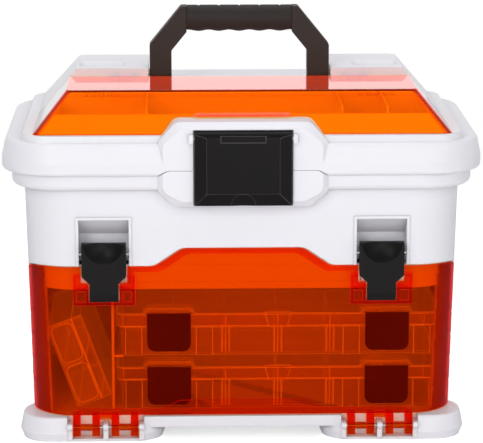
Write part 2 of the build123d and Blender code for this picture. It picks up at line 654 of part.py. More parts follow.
def make_box_latch():
    """Flat snap plate with rounded lower corners, in front of its box."""
    half, top = BOX_LATCH_W / 2, BOX_H
    plate = front_prism([(-half, BOX_LATCH_FOOT), (half, BOX_LATCH_FOOT), (half, top), (-half, top)],
                        -BOX_LATCH_T - SEAT_GAP, -SEAT_GAP, BOX_LATCH_R, (0, 1))
    return Pos(0, -BOX_D / 2, 0) * plate


def make_box_dividers():
    """Plates that part the front half of a box into cells."""
    plates = []
    for x in box_divider_places():
        plates.append(block(x - BOX_WALL / 3, x + BOX_WALL / 3, -BOX_D / 2 + 3 * BOX_WALL,
                            -BOX_WALL / 2 - BOX_GAP, BOX_WALL, BOX_H - 3 * BOX_WALL))
    return Compound(children=plates)


# Small leaning case: a base with two cells that open to the right under a lid strip
def case_place():
    """Frame of the leaning case: it stands on its rounded left corner, against the partition's foot."""
    rise, run = math.sin(math.radians(CASE_LEAN)), math.cos(math.radians(CASE_LEAN))
    lift = CASE_W * rise - CASE_R * (rise + run - 1)
    return Pos(PARTITION_X - PARTITION_T / 2 - SEAT_GAP, BOX_FRONT_Y + CASE_LID, BASE_H + SEAT_GAP + lift) \
        * Rot(0, -CASE_LEAN, 0)


def make_case_base():
    """Two cells, one above the other, open to the right, each with a raised panel on its front."""
    body = front_prism([(-CASE_LID, 0), (-CASE_LID, CASE_L), (-CASE_W, CASE_L), (-CASE_W, 0)],
                       0, CASE_D, CASE_R, (2, 3))
    cell = (CASE_L - 3 * CASE_WALL) / 2
    for z in (CASE_WALL, 2 * CASE_WALL + cell):
        body -= block(-CASE_W + CASE_WALL, -CASE_LID + 1, CASE_WALL, CASE_D - CASE_WALL, z, z + cell)
        x0, x1 = -CASE_W + CASE_R, -CASE_LID - CASE_WALL
        body += front_prism([(x0, z + CASE_WALL), (x1, z + CASE_WALL), (x1, z + cell - CASE_WALL),
                             (x0, z + cell - CASE_WALL)], -CASE_PANEL, CASE_WALL, 2 * CASE_R)
    return body


def make_case_lid():
    """Lid strip over both cells, with rounded outer corners."""
    lid = front_prism([(-CASE_LID, 0), (0, 0), (0, CASE_L), (-CASE_LID, CASE_L)], 0, CASE_D, CASE_R, (1, 2))
    return lid - block(-CASE_LID - 1, -CASE_WALL, CASE_WALL, CASE_D - CASE_WALL, CASE_WALL, CASE_L - CASE_WALL)


# Upper tub
def boss_points(gap=0.0):
    """Boss outline from below the lid line to its head, grown by gap."""
    foot, head = BOSS_FOOT_W / 2 + gap, BOSS_HEAD_W / 2 + gap
    low, high = LID_Z - BOSS_DROP - gap, LID_Z + BOSS_RISE + gap
    waist = FLANGE_TOP - FLANGE_H
    return [(-head, low), (head, low), (foot, waist), (foot, RIM_TOP), (head, high), (-head, high),
            (-foot, RIM_TOP), (-foot, waist)]


def boss(inset, z0, z1):
    """Boss with sloping flanks between two heights; inset is the wall between it and its hollow."""
    faces = [Pos(0, BOSS_Y + inset + run, 0) * (Plane.XZ * outline(boss_points(-inset - narrow), BOSS_ROUND))
             for narrow, run in ((BOSS_FLANK, 0), (0, BOSS_FLANK_RUN))]
    body = loft(faces, ruled=True) + front_prism(boss_points(-inset), BOSS_Y + inset + BOSS_FLANK_RUN,
                                                 BOSS_Y + BOSS_DEPTH, BOSS_ROUND)
    return body & block(-RIM_W, RIM_W, BOSS_Y, 0, z0, z1)


def seam_points(gap):
    """Opening in the lid's lap for the tub's boss, with sloping ends, drawn in by gap."""
    low, high = SEAM_X - gap, SEAM_X - BEAD_TIP - gap
    z0, z1, z2 = LID_Z - RIM_LAP - RUN_GAP - 1, LID_Z - RIM_LAP - gap, LID_Z + SEAT_GAP
    return [(-low, z0), (low, z0), (low, z1), (high, z2), (-high, z2), (-low, z1)]


def bead_room():
    """Room beside the tub's boss for the ends of the lid's lap."""
    y0, y1 = BOSS_Y - 1, -flange_depth() / 2 - RIM_PLAY + RUN_GAP
    band = block(-RIM_W / 2, RIM_W / 2, y0, y1, LID_Z - RIM_LAP - RUN_GAP, LID_Z + SEAT_GAP)
    return band - front_prism(seam_points(RUN_GAP), y0 - 1, y1 + 1)


def latch_pocket(gap=0.0):
    """Recess behind the main latch, grown by gap for its backing."""
    half = LATCH_W / 2 + RUN_GAP + gap
    back = LATCH_Y + LATCH_T + SEAT_GAP + gap
    body = block(-half, half, LATCH_Y - 10, back, LID_Z - LATCH_BOTTOM - RUN_GAP - gap, LATCH_PIVOT_Z)
    head = rod(LATCH_HEAD_R + RUN_GAP + gap, -half, half, LATCH_PIVOT_Y, LATCH_PIVOT_Z)
    front = block(-half, half, LATCH_Y - 10, LATCH_PIVOT_Y, LATCH_PIVOT_Z - 1,
                  LATCH_PIVOT_Z + LATCH_HEAD_R + RUN_GAP + gap)
    return body + head + front


def make_tub():
    """Tub with its flange, latch boss, stepped lower edge, latch pockets and hinge knuckles."""
    hollow = WALL + SKIRT_INSET
    body = drafted(TUB_Z, LID_Z)
    tongue = drafted(DOOR_AXIS_Z, TUB_Z) - drafted(DOOR_AXIS_Z, TUB_Z + OVERRUN, WALL)
    tongue &= block(-BODY_W, BODY_W, -BODY_D, DOOR_RETURN_Y, TUB_Z - TUB_TONGUE, TUB_Z)
    tub = body + (tongue - swing(DOOR_RADIUS + DOOR_TOP_GAP))
    flange_r = BODY_CORNER_R + FLANGE_FRONT
    flange = extrude(plan(flange_width(), flange_depth(), flange_r, FLANGE_TOP - FLANGE_H), FLANGE_H)
    tub += fillet(flange.faces().sort_by(Axis.Z)[0].edges(), FLANGE_FRONT - OVERRUN)
    latch_boss = boss(0, TUB_Z, LID_Z) - bead_room()
    tub += latch_boss
    tub += drafted(TUB_FLOOR_Z, TUB_Z + WALL, SKIRT_INSET)
    tub -= drafted(TUB_Z + WALL, LID_Z + OVERRUN, WALL)
    tub -= drafted(TUB_FLOOR_Z + WALL, TUB_Z + WALL + OVERRUN, hollow)
    tub += latch_pocket(WALL) & block(-BODY_W, BODY_W, BOSS_Y, 0, 0, LID_Z) & (body + latch_boss)
    step_cut = door_step(DOOR_TOP_GAP, TUB_Z - DOOR_STEP_H)
    step_wall = door_step(DOOR_TOP_GAP + WALL, TUB_Z - DOOR_STEP_H)
    tub += (step_wall & body) - drafted(TUB_Z - OVERRUN, LID_Z, hollow)
    tub -= step_cut - drafted(TUB_Z - OVERRUN, LID_Z, SKIRT_INSET)
    for sx in (-1, 1):
        tub += door_latch_housing(sx * DLATCH_X) & drafted(TUB_Z, LID_Z, -POCKET_PROUD)
    for sx in (-1, 1):
        tub -= door_latch_recess(sx * DLATCH_X)
    tub -= latch_pocket()
    ledge_y = LATCH_Y + LATCH_T + SEAT_GAP
    ledge_z = LID_Z - LATCH_BOTTOM + LATCH_CATCH_RISE
    tub += block(-LATCH_CATCH_W / 2, LATCH_CATCH_W / 2, ledge_y - LATCH_CATCH, ledge_y + OVERRUN, ledge_z,
                 ledge_z + LATCH_CATCH_H)
    for sx in (-1, 1):
        for k in (-1, 1):
            x = sx * HINGE_PITCH / 2 + k * (KNUCKLE_W + SIDE_GAP)
            tub += lid_knuckle(x) + block(x - KNUCKLE_W / 2, x + KNUCKLE_W / 2, flange_depth() / 2 - OVERRUN, HINGE_Y,
                                          FLANGE_TOP - FLANGE_H / 2, HINGE_AXIS_Z)
    for sx in (-1, 1):
        x = sx * HINGE_PITCH / 2
        tub -= rod(HINGE_PIN_R + PIN_SEAT, x - 2 * KNUCKLE_W, x + 2 * KNUCKLE_W, HINGE_Y, HINGE_AXIS_Z)
    return tub


def door_latch_housing(x):
    """Block round one door latch's pocket, with a raised frame on its front."""
    half, wall_y = POCKET_W / 2 + WALL, -half_d(TUB_Z)
    return block(x - half, x + half, wall_y - 2 * WALL, wall_y + POCKET_DEPTH + WALL, TUB_Z, TUB_Z + POCKET_H + WALL)


def door_latch_recess(x):
    """Pocket over one door latch, with a sloping ceiling, and the bore for its pin."""
    wall_y, top = -half_d(TUB_Z), TUB_Z + POCKET_H
    back = wall_y + POCKET_DEPTH
    profile = [(-BODY_D, TUB_Z - OVERRUN), (wall_y + SKIRT_INSET, TUB_Z - OVERRUN), (wall_y + SKIRT_INSET, TUB_Z),
               (back, TUB_Z), (back, TUB_Z + POCKET_H * POCKET_SILL), (wall_y, top), (-BODY_D, top)]
    reach = POCKET_W / 2 + WALL - PIN_CAP
    return side_prism(profile, x - POCKET_W / 2, x + POCKET_W / 2) \
        + rod(DLATCH_PIN_R + PIN_SEAT, x - reach, x + reach, DLATCH_PIVOT_Y, DLATCH_PIVOT_Z)


def lid_knuckle(x):
    """One barrel of the lid hinge, without its bore."""
    return rod(HINGE_BARREL_R, x - KNUCKLE_W / 2, x + KNUCKLE_W / 2, HINGE_Y, HINGE_AXIS_Z)


def make_hinge_pins():
    """One pin in each of the lid's hinges."""
    reach = 1.5 * KNUCKLE_W + SIDE_GAP
    return mirrored(rod(HINGE_PIN_R, HINGE_PITCH / 2 - reach, HINGE_PITCH / 2 + reach, HINGE_Y, HINGE_AXIS_Z))


def make_dlatch_pins():
    """One pin behind each door latch."""
    reach = POCKET_W / 2 + WALL - PIN_CAP
    return mirrored(rod(DLATCH_PIN_R, DLATCH_X - reach, DLATCH_X + reach, DLATCH_PIVOT_Y, DLATCH_PIVOT_Z))


# Door latch: scooped thumb pad above, narrower neck below
def make_dlatch(x):
    """Latch that turns on the tub's pin: a pad with a thumb scoop above and a narrower neck below."""
    front = -half_d(DLATCH_PIVOT_Z) - DLATCH_PROUD
    pin_back = DLATCH_PIVOT_Y + DLATCH_PIN_R + WALL
    top, low = DLATCH_PIVOT_Z + DLATCH_RISE, DLATCH_PIVOT_Z - DLATCH_DROP
    pad_z, arm_z = DLATCH_PIVOT_Z - DLATCH_PAD_DROP, DLATCH_PIVOT_Z - 3 * DLATCH_PIN_R
    half, neck = DLATCH_W / 2, DLATCH_NECK_W / 2
    shoulder, round_over = DLATCH_SKIN * 2, DLATCH_SKIN / 2
    face = front_prism([(x - half, top), (x - half, pad_z + shoulder), (x - neck, pad_z), (x - neck, low),
                        (x + neck, low), (x + neck, pad_z), (x + half, pad_z + shoulder), (x + half, top)],
                       front, front + DLATCH_LIP + DLATCH_SKIN)
    side = [(front + round_over, top), (front, top - round_over), (front, low + shoulder),
            (front + round_over, low), (front + DLATCH_LIP, low), (front + DLATCH_LIP, pad_z + round_over),
            (pin_back, arm_z), (pin_back, DLATCH_PIVOT_Z + DLATCH_SKIN), (pin_back - DLATCH_SKIN, top)]
    latch = face + block(x - half, x + half, front, pin_back, arm_z - DLATCH_SKIN, top)
    latch &= side_prism(side, x - half, x + half)
    ball_out = math.sqrt(DLATCH_SCOOP_R ** 2 - DLATCH_SCOOP ** 2)
    latch -= Pos(x, front - ball_out, top) * Sphere(DLATCH_SCOOP_R)
    latch -= block(x - half + DLATCH_SKIN, x + half - DLATCH_SKIN, front + DLATCH_LIP - 1, pin_back + 1,
                   pad_z + shoulder, arm_z)
    return latch - rod(DLATCH_PIN_R + PIN_FIT, x - DLATCH_W, x + DLATCH_W, DLATCH_PIVOT_Y, DLATCH_PIVOT_Z)


# Lid shell
def platform_step(inset, z0, z1):
    """Low platform inside the lid's rim between two heights, drawn in by inset."""
    w, d = RIM_W - 2 * (PLATFORM_SIDE + inset), RIM_D - 2 * (PLATFORM_FRONT + inset)
    return rounded_loft(w, d, PLATFORM_R - inset, z0,
                        w - 2 * PLATFORM_LEAN_X, d - 2 * PLATFORM_LEAN_Y, PLATFORM_TOP_R - inset, z1)


def rim_body(inset, z0, z1):
    """Rim of the lid between two heights at or above its bead, drawn in by inset."""
    ends = []
    for z in (z0, z1):
        run = inset + (z - BEAD_Z) * RIM_LEAN / (RIM_TOP - BEAD_Z)
        ends.append((RIM_W - 2 * run, RIM_D - 2 * run, RIM_R - run, z))
    return rounded_loft(*ends[0], *ends[1])


def deck_scoops(grow):
    """Scooped rests in the deck on both sides of the handle, grown for their backing."""
    w, d = SCOOP_W + 2 * grow, SCOOP_D + 2 * grow
    pit = rounded_loft(w - 2 * SCOOP_R, d - 2 * SCOOP_R, SCOOP_R + grow, DECK_Z - SCOOP_DEPTH - grow,
                       w, d, SCOOP_R + grow, DECK_Z + 1)
    return mirrored(Pos(SCOOP_INNER + SCOOP_W / 2, DECK_Y + SCOOP_FRONT + SCOOP_D / 2, 0) * pit)


def deck_ribs():
    """Upright ribs on the deck's front face, below the scooped rests."""
    z0, z1 = PLATFORM_Z + TRAY_RIM_H + RUN_GAP, COVER_AXIS_Z - COVER_BARREL_R - RUN_GAP
    ribs = None
    for i in range(DECK_RIBS):
        x = SCOOP_INNER + SCOOP_W / 2 + (i - (DECK_RIBS - 1) / 2) * DECK_RIB_PITCH
        rib = Pos(x, DECK_Y, (z0 + z1) / 2) * Cylinder(DECK_RIB_R, z1 - z0)
        ribs = rib if ribs is None else ribs + rib
    return mirrored(ribs)


def make_lid():
    """Rim, platform, latch boss and the raised deck with its well for the handle, as one shell."""
    z0 = LID_Z - RIM_LAP
    rim = rim_body(0, BEAD_Z, RIM_TOP) + extrude(plan(RIM_W, RIM_D, RIM_R, z0), BEAD_H)
    rim = fillet(rim.faces().sort_by(Axis.Z)[-1].edges(), RIM_ROUND)
    rim = fillet(rim.faces().sort_by(Axis.Z)[0].edges(), RIM_LEAN)
    deck_room = block(-RIM_W, RIM_W, DECK_Y, RIM_D, 0, DECK_Z + 1)
    above = block(-RIM_W, RIM_W, BOSS_Y, 0, LID_Z + SEAT_GAP, DECK_Z)
    solid = rim + platform_step(0, RIM_TOP - 1, PLATFORM_Z) + (house(PLATFORM_Z - 1, DECK_Z) & deck_room) \
        + boss(0, LID_Z + SEAT_GAP, DECK_Z)
    lap_w, lap_d = flange_width() + 2 * RIM_PLAY, flange_depth() + 2 * RIM_PLAY
    lap_r = BODY_CORNER_R + FLANGE_FRONT + RIM_PLAY
    hollows = (extrude(plan(lap_w, lap_d, lap_r, z0 - 1), BEAD_H),
               rim_body(LID_WALL, BEAD_Z, RIM_TOP - LID_WALL) & extrude(plan(lap_w, lap_d, lap_r, BEAD_Z - 2), RIM_H),
               platform_step(LID_WALL, RIM_TOP - LID_WALL - 1, PLATFORM_Z - LID_WALL),
               house(PLATFORM_Z - LID_WALL - 1, DECK_Z - LID_WALL, LID_WALL)
               & block(-RIM_W, RIM_W, DECK_Y + LID_WALL, RIM_D, 0, DECK_Z),
               boss(LID_WALL, 0, LID_Z + BOSS_RISE - 2 * LID_WALL))
    lid = solid
    for hollow in hollows:
        lid -= hollow
    lid -= front_prism(seam_points(0), BOSS_Y - 1, -flange_depth() / 2 + FLANGE_DROP)
    well = block(-WELL_HALF, WELL_HALF, DECK_Y - 1, RIM_D, WELL_Z, DECK_Z + 1)
    well_wall = block(-WELL_HALF - LID_WALL, WELL_HALF + LID_WALL, DECK_Y, RIM_D, WELL_Z - LID_WALL, DECK_Z + 1)
    lid += (well_wall + deck_scoops(LID_WALL)) & solid
    lid += latch_pocket(LID_WALL) & solid & above
    lid -= well + deck_scoops(0)
    lid -= tray_shape(0.0)
    lid += cover_lugs() + deck_ribs()
    lid -= rod(COVER_PIN_R + PIN_SEAT, -RIM_W / 3, RIM_W / 3, COVER_AXIS_Y, COVER_AXIS_Z)
    for sx in (-1, 1):
        x0, x1 = sx * WELL_HALF, sx * (WELL_HALF + LID_WALL + HANDLE_BOSS_T)
        lid += rod(HANDLE_PIN_R + LID_WALL, x0, x1, HANDLE_PIVOT_Y, HANDLE_PIVOT_Z) & solid
        lid -= rod(HANDLE_PIN_R + PIN_SEAT, x0 - sx, x1 + sx, HANDLE_PIVOT_Y, HANDLE_PIVOT_Z)
    lid -= latch_pocket()
    ear_x = LATCH_W / 2 + RUN_GAP
    lid += mirrored(block(ear_x, ear_x + LATCH_EAR, LATCH_PIVOT_Y - LATCH_EAR_R, BOSS_Y + BOSS_FLANK_RUN * 2,
                          LATCH_PIVOT_Z - LATCH_EAR_R, LATCH_PIVOT_Z + LATCH_EAR_R))
    lid -= rod(LATCH_PIN_R + PIN_SEAT, -LATCH_PIN_REACH, LATCH_PIN_REACH, LATCH_PIVOT_Y, LATCH_PIVOT_Z)
    for sx in (-1, 1):
        lid += lid_knuckle(sx * HINGE_PITCH / 2)
        for k in (-1, 1):
            x = sx * HINGE_PITCH / 2 + k * (KNUCKLE_W + SIDE_GAP)
            lid -= rod(HINGE_BARREL_R + RUN_GAP, x - KNUCKLE_W / 2 - SIDE_GAP, x + KNUCKLE_W / 2 + SIDE_GAP,
                       HINGE_Y, HINGE_AXIS_Z)
            lid -= block(x - KNUCKLE_W / 2 - SIDE_GAP, x + KNUCKLE_W / 2 + SIDE_GAP,
                         HINGE_Y - HINGE_BARREL_R - RIM_FRONT, HINGE_Y + 2 * HINGE_BARREL_R, z0 - 1, HINGE_AXIS_Z)
    for sx in (-1, 1):
        lid -= rod(HINGE_PIN_R + PIN_FIT, sx * HINGE_PITCH / 2 - KNUCKLE_W, sx * HINGE_PITCH / 2 + KNUCKLE_W,
                   HINGE_Y, HINGE_AXIS_Z)
    return lid


def flange_width():
    """Width over the tub's flange."""
    return 2 * (half_w(FLANGE_TOP) + FLANGE_SIDE)


def flange_depth():
    """Depth over the tub's flange."""
    return 2 * (half_d(FLANGE_TOP) + FLANGE_FRONT)


def tray_shape(gap):
    """Sloping rim of the tray, from the platform's underside up, drawn in by gap."""
    z1 = PLATFORM_Z + TRAY_RIM_H - gap
    body = house(PLATFORM_Z - LID_WALL - 1, z1, TRAY_INSET + gap)
    return body & block(-RIM_W, RIM_W, -RIM_D, TRAY_REAR_Y - gap, 0, z1)


# Tray under the cover: a sloping rim around a basin, with dividers that drop in
def basin(gap, z0, z1):
    """Straight-sided block inside the tray's rim, drawn in by gap."""
    run = HOUSE_SIDE + TRAY_INSET + SLOPE_RUN * TRAY_RIM_H / COVER_H + TRAY_LEDGE
    half = RIM_W / 2 - run - gap
    front = -(RIM_D / 2 - run + HOUSE_SIDE - HOUSE_FRONT) + gap
    return block(-half, half, front, TRAY_REAR_Y - 1 - gap, z0, z1)


def make_tray():
    """Sloping rim round a basin, with a flat ledge under the cover."""
    z1 = PLATFORM_Z + TRAY_RIM_H
    floor = PLATFORM_Z - TRAY_DEPTH
    rim = tray_shape(SEAT_GAP)
    rim -= house(PLATFORM_Z - LID_WALL - 2, z1 - TRAY_WALL, TRAY_INSET + TRAY_SLOPE_WALL) \
        & block(-RIM_W, RIM_W, -RIM_D, TRAY_REAR_Y - TRAY_WALL, 0, z1)
    walls = basin(-TRAY_WALL, floor - TRAY_WALL, z1 - SEAT_GAP) \
        & block(-RIM_W, RIM_W, -RIM_D, TRAY_REAR_Y - SEAT_GAP, 0, z1) \
        & house(floor - 2 * TRAY_WALL, z1, TRAY_INSET + SEAT_GAP)
    return rim + walls - basin(0, floor, z1 + 1)


def make_tray_dividers():
    """Upright plates across the tray."""
    top = PLATFORM_Z + TRAY_RIM_H + DIVIDER_RISE
    plates = None
    for x in TRAY_DIVIDERS:
        plate = basin(PIN_FIT, PLATFORM_Z - TRAY_DEPTH, top) \
            & block(x - DIVIDER_T / 2, x + DIVIDER_T / 2, -RIM_D, RIM_D, 0, top) \
            & house(PLATFORM_Z - TRAY_DEPTH - 1, top, TRAY_INSET)
        plates = plate if plates is None else plates + plate
    return plates


# See-through cover: sloping shell, cut round the latch boss, hinged along its rear edge
def make_cover():
    """Sloping see-through shell, cut round the latch boss and hinged along its rear edge."""
    z0 = PLATFORM_Z + SEAT_GAP
    shell = house(z0, COVER_Z) - house(z0 - OVERRUN, COVER_Z - COVER_T, COVER_T)
    shell &= block(-RIM_W, RIM_W, -RIM_D, COVER_REAR_Y, 0, COVER_Z)
    shell -= front_prism(boss_points(RUN_GAP), -RIM_D, -RIM_D / 4, BOSS_ROUND)
    lip_z = LID_Z + BOSS_RISE + RUN_GAP
    lip_y = -RIM_D / 2 + HOUSE_FRONT + SLOPE_RUN * (lip_z - PLATFORM_Z) / COVER_H
    tip_y, root_y = lip_y - COVER_TAB_REACH, lip_y + COVER_TAB_H
    lip = side_prism([(tip_y, lip_z + OVERRUN), (lip_y + COVER_T, lip_z), (root_y, lip_z + COVER_TAB_H),
                      (tip_y + COVER_T, lip_z + COVER_T)], -COVER_TAB_W / 2, COVER_TAB_W / 2)
    cover = shell + lip
    for side in (-1, 1):
        x = side * COVER_HINGE_X
        half = KNUCKLE_W / 2
        cover += rod(COVER_BARREL_R, x - half, x + half, COVER_AXIS_Y, COVER_AXIS_Z)
        cover += block(x - half, x + half, COVER_REAR_Y - COVER_T, COVER_AXIS_Y,
                       COVER_AXIS_Z, COVER_AXIS_Z + COVER_BARREL_R)
        cover -= rod(COVER_PIN_R + PIN_FIT, x - KNUCKLE_W, x + KNUCKLE_W, COVER_AXIS_Y, COVER_AXIS_Z)
        for k in (-1, 1):
            x0 = x + k * (half + SIDE_GAP / 2)
            cover -= rod(COVER_BARREL_R + RUN_GAP, x0, x0 + k * (COVER_LUG_W + SIDE_GAP * 1.5), COVER_AXIS_Y,
                         COVER_AXIS_Z)
    return cover


def cover_lugs():
    """Lugs on the deck's front face that hold the cover's pins."""
    lugs = None
    for side in (-1, 1):
        for k in (-1, 1):
            x = side * COVER_HINGE_X + k * (KNUCKLE_W / 2 + SIDE_GAP + COVER_LUG_W / 2)
            half = COVER_LUG_W / 2
            lug = rod(COVER_BARREL_R, x - half, x + half, COVER_AXIS_Y, COVER_AXIS_Z) \
                + block(x - half, x + half, COVER_AXIS_Y, DECK_Y + 1, COVER_AXIS_Z - COVER_BARREL_R,
                        COVER_AXIS_Z + COVER_BARREL_R / 3)
            lugs = lug if lugs is None else lugs + lug
    return lugs


def make_cover_pins():
    """One pin in each of the cover's hinges."""
    reach = KNUCKLE_W / 2 + SIDE_GAP + COVER_LUG_W
    return mirrored(rod(COVER_PIN_R, COVER_HINGE_X - reach, COVER_HINGE_X + reach, COVER_AXIS_Y, COVER_AXIS_Z))


# Carrying handle: a bent frame with a ribbed grip round its bar
def grip_core():
    """Waist of the handle's bar, under the grip."""
    z1 = HANDLE_PIVOT_Z + HANDLE_RISE - GRIP_SKIN
    half_t = HANDLE_T / 2 - GRIP_SKIN
    return block(-GRIP_L / 2, GRIP_L / 2, HANDLE_PIVOT_Y - half_t, HANDLE_PIVOT_Y + half_t,
                 z1 + 2 * GRIP_SKIN - HANDLE_BAR, z1)


def make_handle():
    """Bent frame with round legs and a waist for the grip."""
    half, leg = HANDLE_W / 2, HANDLE_LEG
    top = HANDLE_PIVOT_Z + HANDLE_RISE
    foot = HANDLE_PIVOT_Z - HANDLE_LEG_R
    under = top - HANDLE_BAR
    inner = half - leg
    outer_points = [(-half, foot), (-half, top - HANDLE_CHAMFER_Z), (-half + HANDLE_CHAMFER_X, top),
                    (half - HANDLE_CHAMFER_X, top), (half, top - HANDLE_CHAMFER_Z), (half, foot)]
    inner_points = [(-inner, foot - 1), (-inner, under - HANDLE_CHAMFER_Z / 2),
                    (-inner + HANDLE_CHAMFER_X / 2, under), (inner - HANDLE_CHAMFER_X / 2, under),
                    (inner, under - HANDLE_CHAMFER_Z / 2), (inner, foot - 1)]
    y0, y1 = HANDLE_PIVOT_Y - HANDLE_T / 2, HANDLE_PIVOT_Y + HANDLE_T / 2
    frame = front_prism(outer_points, y0, y1, HANDLE_BEND_R, (1, 2, 3, 4)) \
        - front_prism(inner_points, y0 - OVERRUN, y1 + OVERRUN, HANDLE_BEND_R, (1, 2, 3, 4))
    side = rod(HANDLE_T / 2, -half, half, HANDLE_PIVOT_Y, HANDLE_PIVOT_Z) \
        + block(-half, half, y0, y1, HANDLE_PIVOT_Z, top)
    frame &= side
    waist = block(-GRIP_L / 2, GRIP_L / 2, y0 - 1, y1 + 1, under - 1, top + 1) - grip_core()
    frame -= waist
    return frame - rod(HANDLE_PIN_R + PIN_FIT, -half - 1, half + 1, HANDLE_PIVOT_Y, HANDLE_PIVOT_Z)


def make_grip():
    """Waved sleeve with a collar at each end."""
    top = HANDLE_PIVOT_Z + HANDLE_RISE
    middle = top - HANDLE_BAR / 2
    section = Pos(HANDLE_PIVOT_Y, middle) \
        * RectangleRounded(HANDLE_T + 2 * GRIP_SWELL, HANDLE_BAR + GRIP_SWELL, HANDLE_T / 2)
    grip = Pos(-GRIP_L / 2, 0, 0) * extrude(Plane.YZ * section, GRIP_L)
    pitch = (GRIP_L - 2 * GRIP_COLLAR) / GRIP_WAVES
    for i in range(GRIP_WAVES):
        x = -GRIP_L / 2 + GRIP_COLLAR + (i + 0.5) * pitch
        dent = pitch * pitch / (8 * GRIP_SWELL)
        low = middle - (HANDLE_BAR + GRIP_SWELL) / 2
        grip -= Pos(x, HANDLE_PIVOT_Y, low + GRIP_SWELL - dent) * Rot(90, 0, 0) * Cylinder(dent, HANDLE_T * 2)
    return grip - grip_core()


def make_handle_pins():
    """One pin through each leg into the well's wall."""
    x0, x1 = HANDLE_W / 2 - HANDLE_LEG, WELL_HALF + LID_WALL + HANDLE_BOSS_T
    return mirrored(rod(HANDLE_PIN_R, x0, x1, HANDLE_PIVOT_Y, HANDLE_PIVOT_Z))


# Main latch: cheeks and a bottom lip behind a plain face, turning on a pin through its head
def make_latch():
    """Hollow latch with a bevelled face, cheeks and a cut-back lower lip, hung on a pin through its head."""
    half, inner = LATCH_W / 2, LATCH_W / 2 - LATCH_SKIN
    top, low, back = LATCH_PIVOT_Z, LID_Z - LATCH_BOTTOM, LATCH_Y + LATCH_T
    head = top + LATCH_HEAD_R
    latch = side_prism([(LATCH_Y, top), (LATCH_Y, low + LATCH_BEVEL), (LATCH_Y + LATCH_BEVEL_DEPTH, low),
                        (back - LATCH_FOOT_RUN, low), (back, low + LATCH_FOOT), (back, top)], -half, half)
    latch += rod(LATCH_HEAD_R, -half, half, LATCH_PIVOT_Y, LATCH_PIVOT_Z)
    for side in (-1, 1):
        corner = [(side * half, LATCH_Y - OVERRUN), (side * (half - LATCH_BEVEL), LATCH_Y - OVERRUN),
                  (side * (half - LATCH_BEVEL), LATCH_Y), (side * half, LATCH_Y + LATCH_BEVEL_DEPTH)]
        latch -= Pos(0, 0, low) * extrude(outline(corner), head - low)
    latch -= block(-inner, inner, LATCH_Y + LATCH_SKIN + LATCH_BEVEL_DEPTH, back + OVERRUN, low + LATCH_SKIN,
                   top - LATCH_HEAD_R)
    room = LATCH_CATCH_W / 2 + RUN_GAP
    latch -= block(-room, room, back - LATCH_CATCH - SEAT_GAP, back + OVERRUN, low - OVERRUN,
                   low + LATCH_CATCH_RISE + LATCH_CATCH_H + RUN_GAP)
    ball_out = math.sqrt(LATCH_SCOOP_R ** 2 - LATCH_SCOOP ** 2)
    latch -= Pos(0, LATCH_Y - ball_out, low - LATCH_SCOOP_DROP) * Sphere(LATCH_SCOOP_R)
    latch -= block(-LATCH_SLOT_W / 2, LATCH_SLOT_W / 2, LATCH_Y - OVERRUN, LATCH_Y + LATCH_SLOT_DEPTH,
                   top - LATCH_SLOT_H / 2, head)
    return latch - rod(LATCH_PIN_R + PIN_FIT, -half - OVERRUN, half + OVERRUN, LATCH_PIVOT_Y, LATCH_PIVOT_Z)


def make_latch_pin():
    """Pin through the main latch's head."""
    return rod(LATCH_PIN_R, -LATCH_PIN_REACH, LATCH_PIN_REACH, LATCH_PIVOT_Y, LATCH_PIVOT_Z)


def main():
    """Builds and writes every node."""
    os.makedirs("parts", exist_ok=True)
    save("base_plinth", make_base())
    save("door_hinge_pins", make_door_pins())
    save("front_door", make_door())
    save("lower_cabinet", make_cabinet())
    save("bay_partition", make_partition())
    save("upper_tub", make_tub())
    save("lid_hinge_pins", make_hinge_pins())
    save("door_latch_pins", make_dlatch_pins())
    save("door_latch_left", make_dlatch(-DLATCH_X))
    save("door_latch_right", make_dlatch(DLATCH_X))
    save("lid_shell", make_lid())
    save("lid_tray", make_tray())
    save("tray_dividers", make_tray_dividers())
    save("top_cover", make_cover())
    save("cover_hinge_pins", make_cover_pins())
    save("handle_frame", make_handle())
    save("handle_grip", make_grip())
    save("handle_pins", make_handle_pins())
    save("main_latch", make_latch())
    save("main_latch_pin", make_latch_pin())
    for level, name in enumerate(("lower", "upper")):
        place = box_place(level)
        save(f"{name}_box_base", place * make_box_base())
        save(f"{name}_box_lid", place * make_box_lid())
        save(f"{name}_box_dividers", place * make_box_dividers())
        for side, hand in ((-1, "left"), (1, "right")):
            latch = place * Pos(side * BOX_LATCH_PITCH / 2, 0, 0) * make_box_latch()
            save(f"{name}_box_latch_{hand}", latch)
    save("small_case_base", case_place() * make_case_base())
    save("small_case_lid", case_place() * make_case_lid())


if __name__ == "__main__":
    main()
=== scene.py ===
"""Dressed scene of a tackle box: white shells, amber cover and door, black latches and handle.

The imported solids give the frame. Each sub-assembly is a class that dresses its solids and models the pieces
that need more form than the solids hold. Metres; X runs right, the front faces -Y, Z is up.
"""
import logging
import math
from contextlib import contextmanager
from dataclasses import dataclass
from enum import Enum
from typing import Callable, Iterator, Sequence

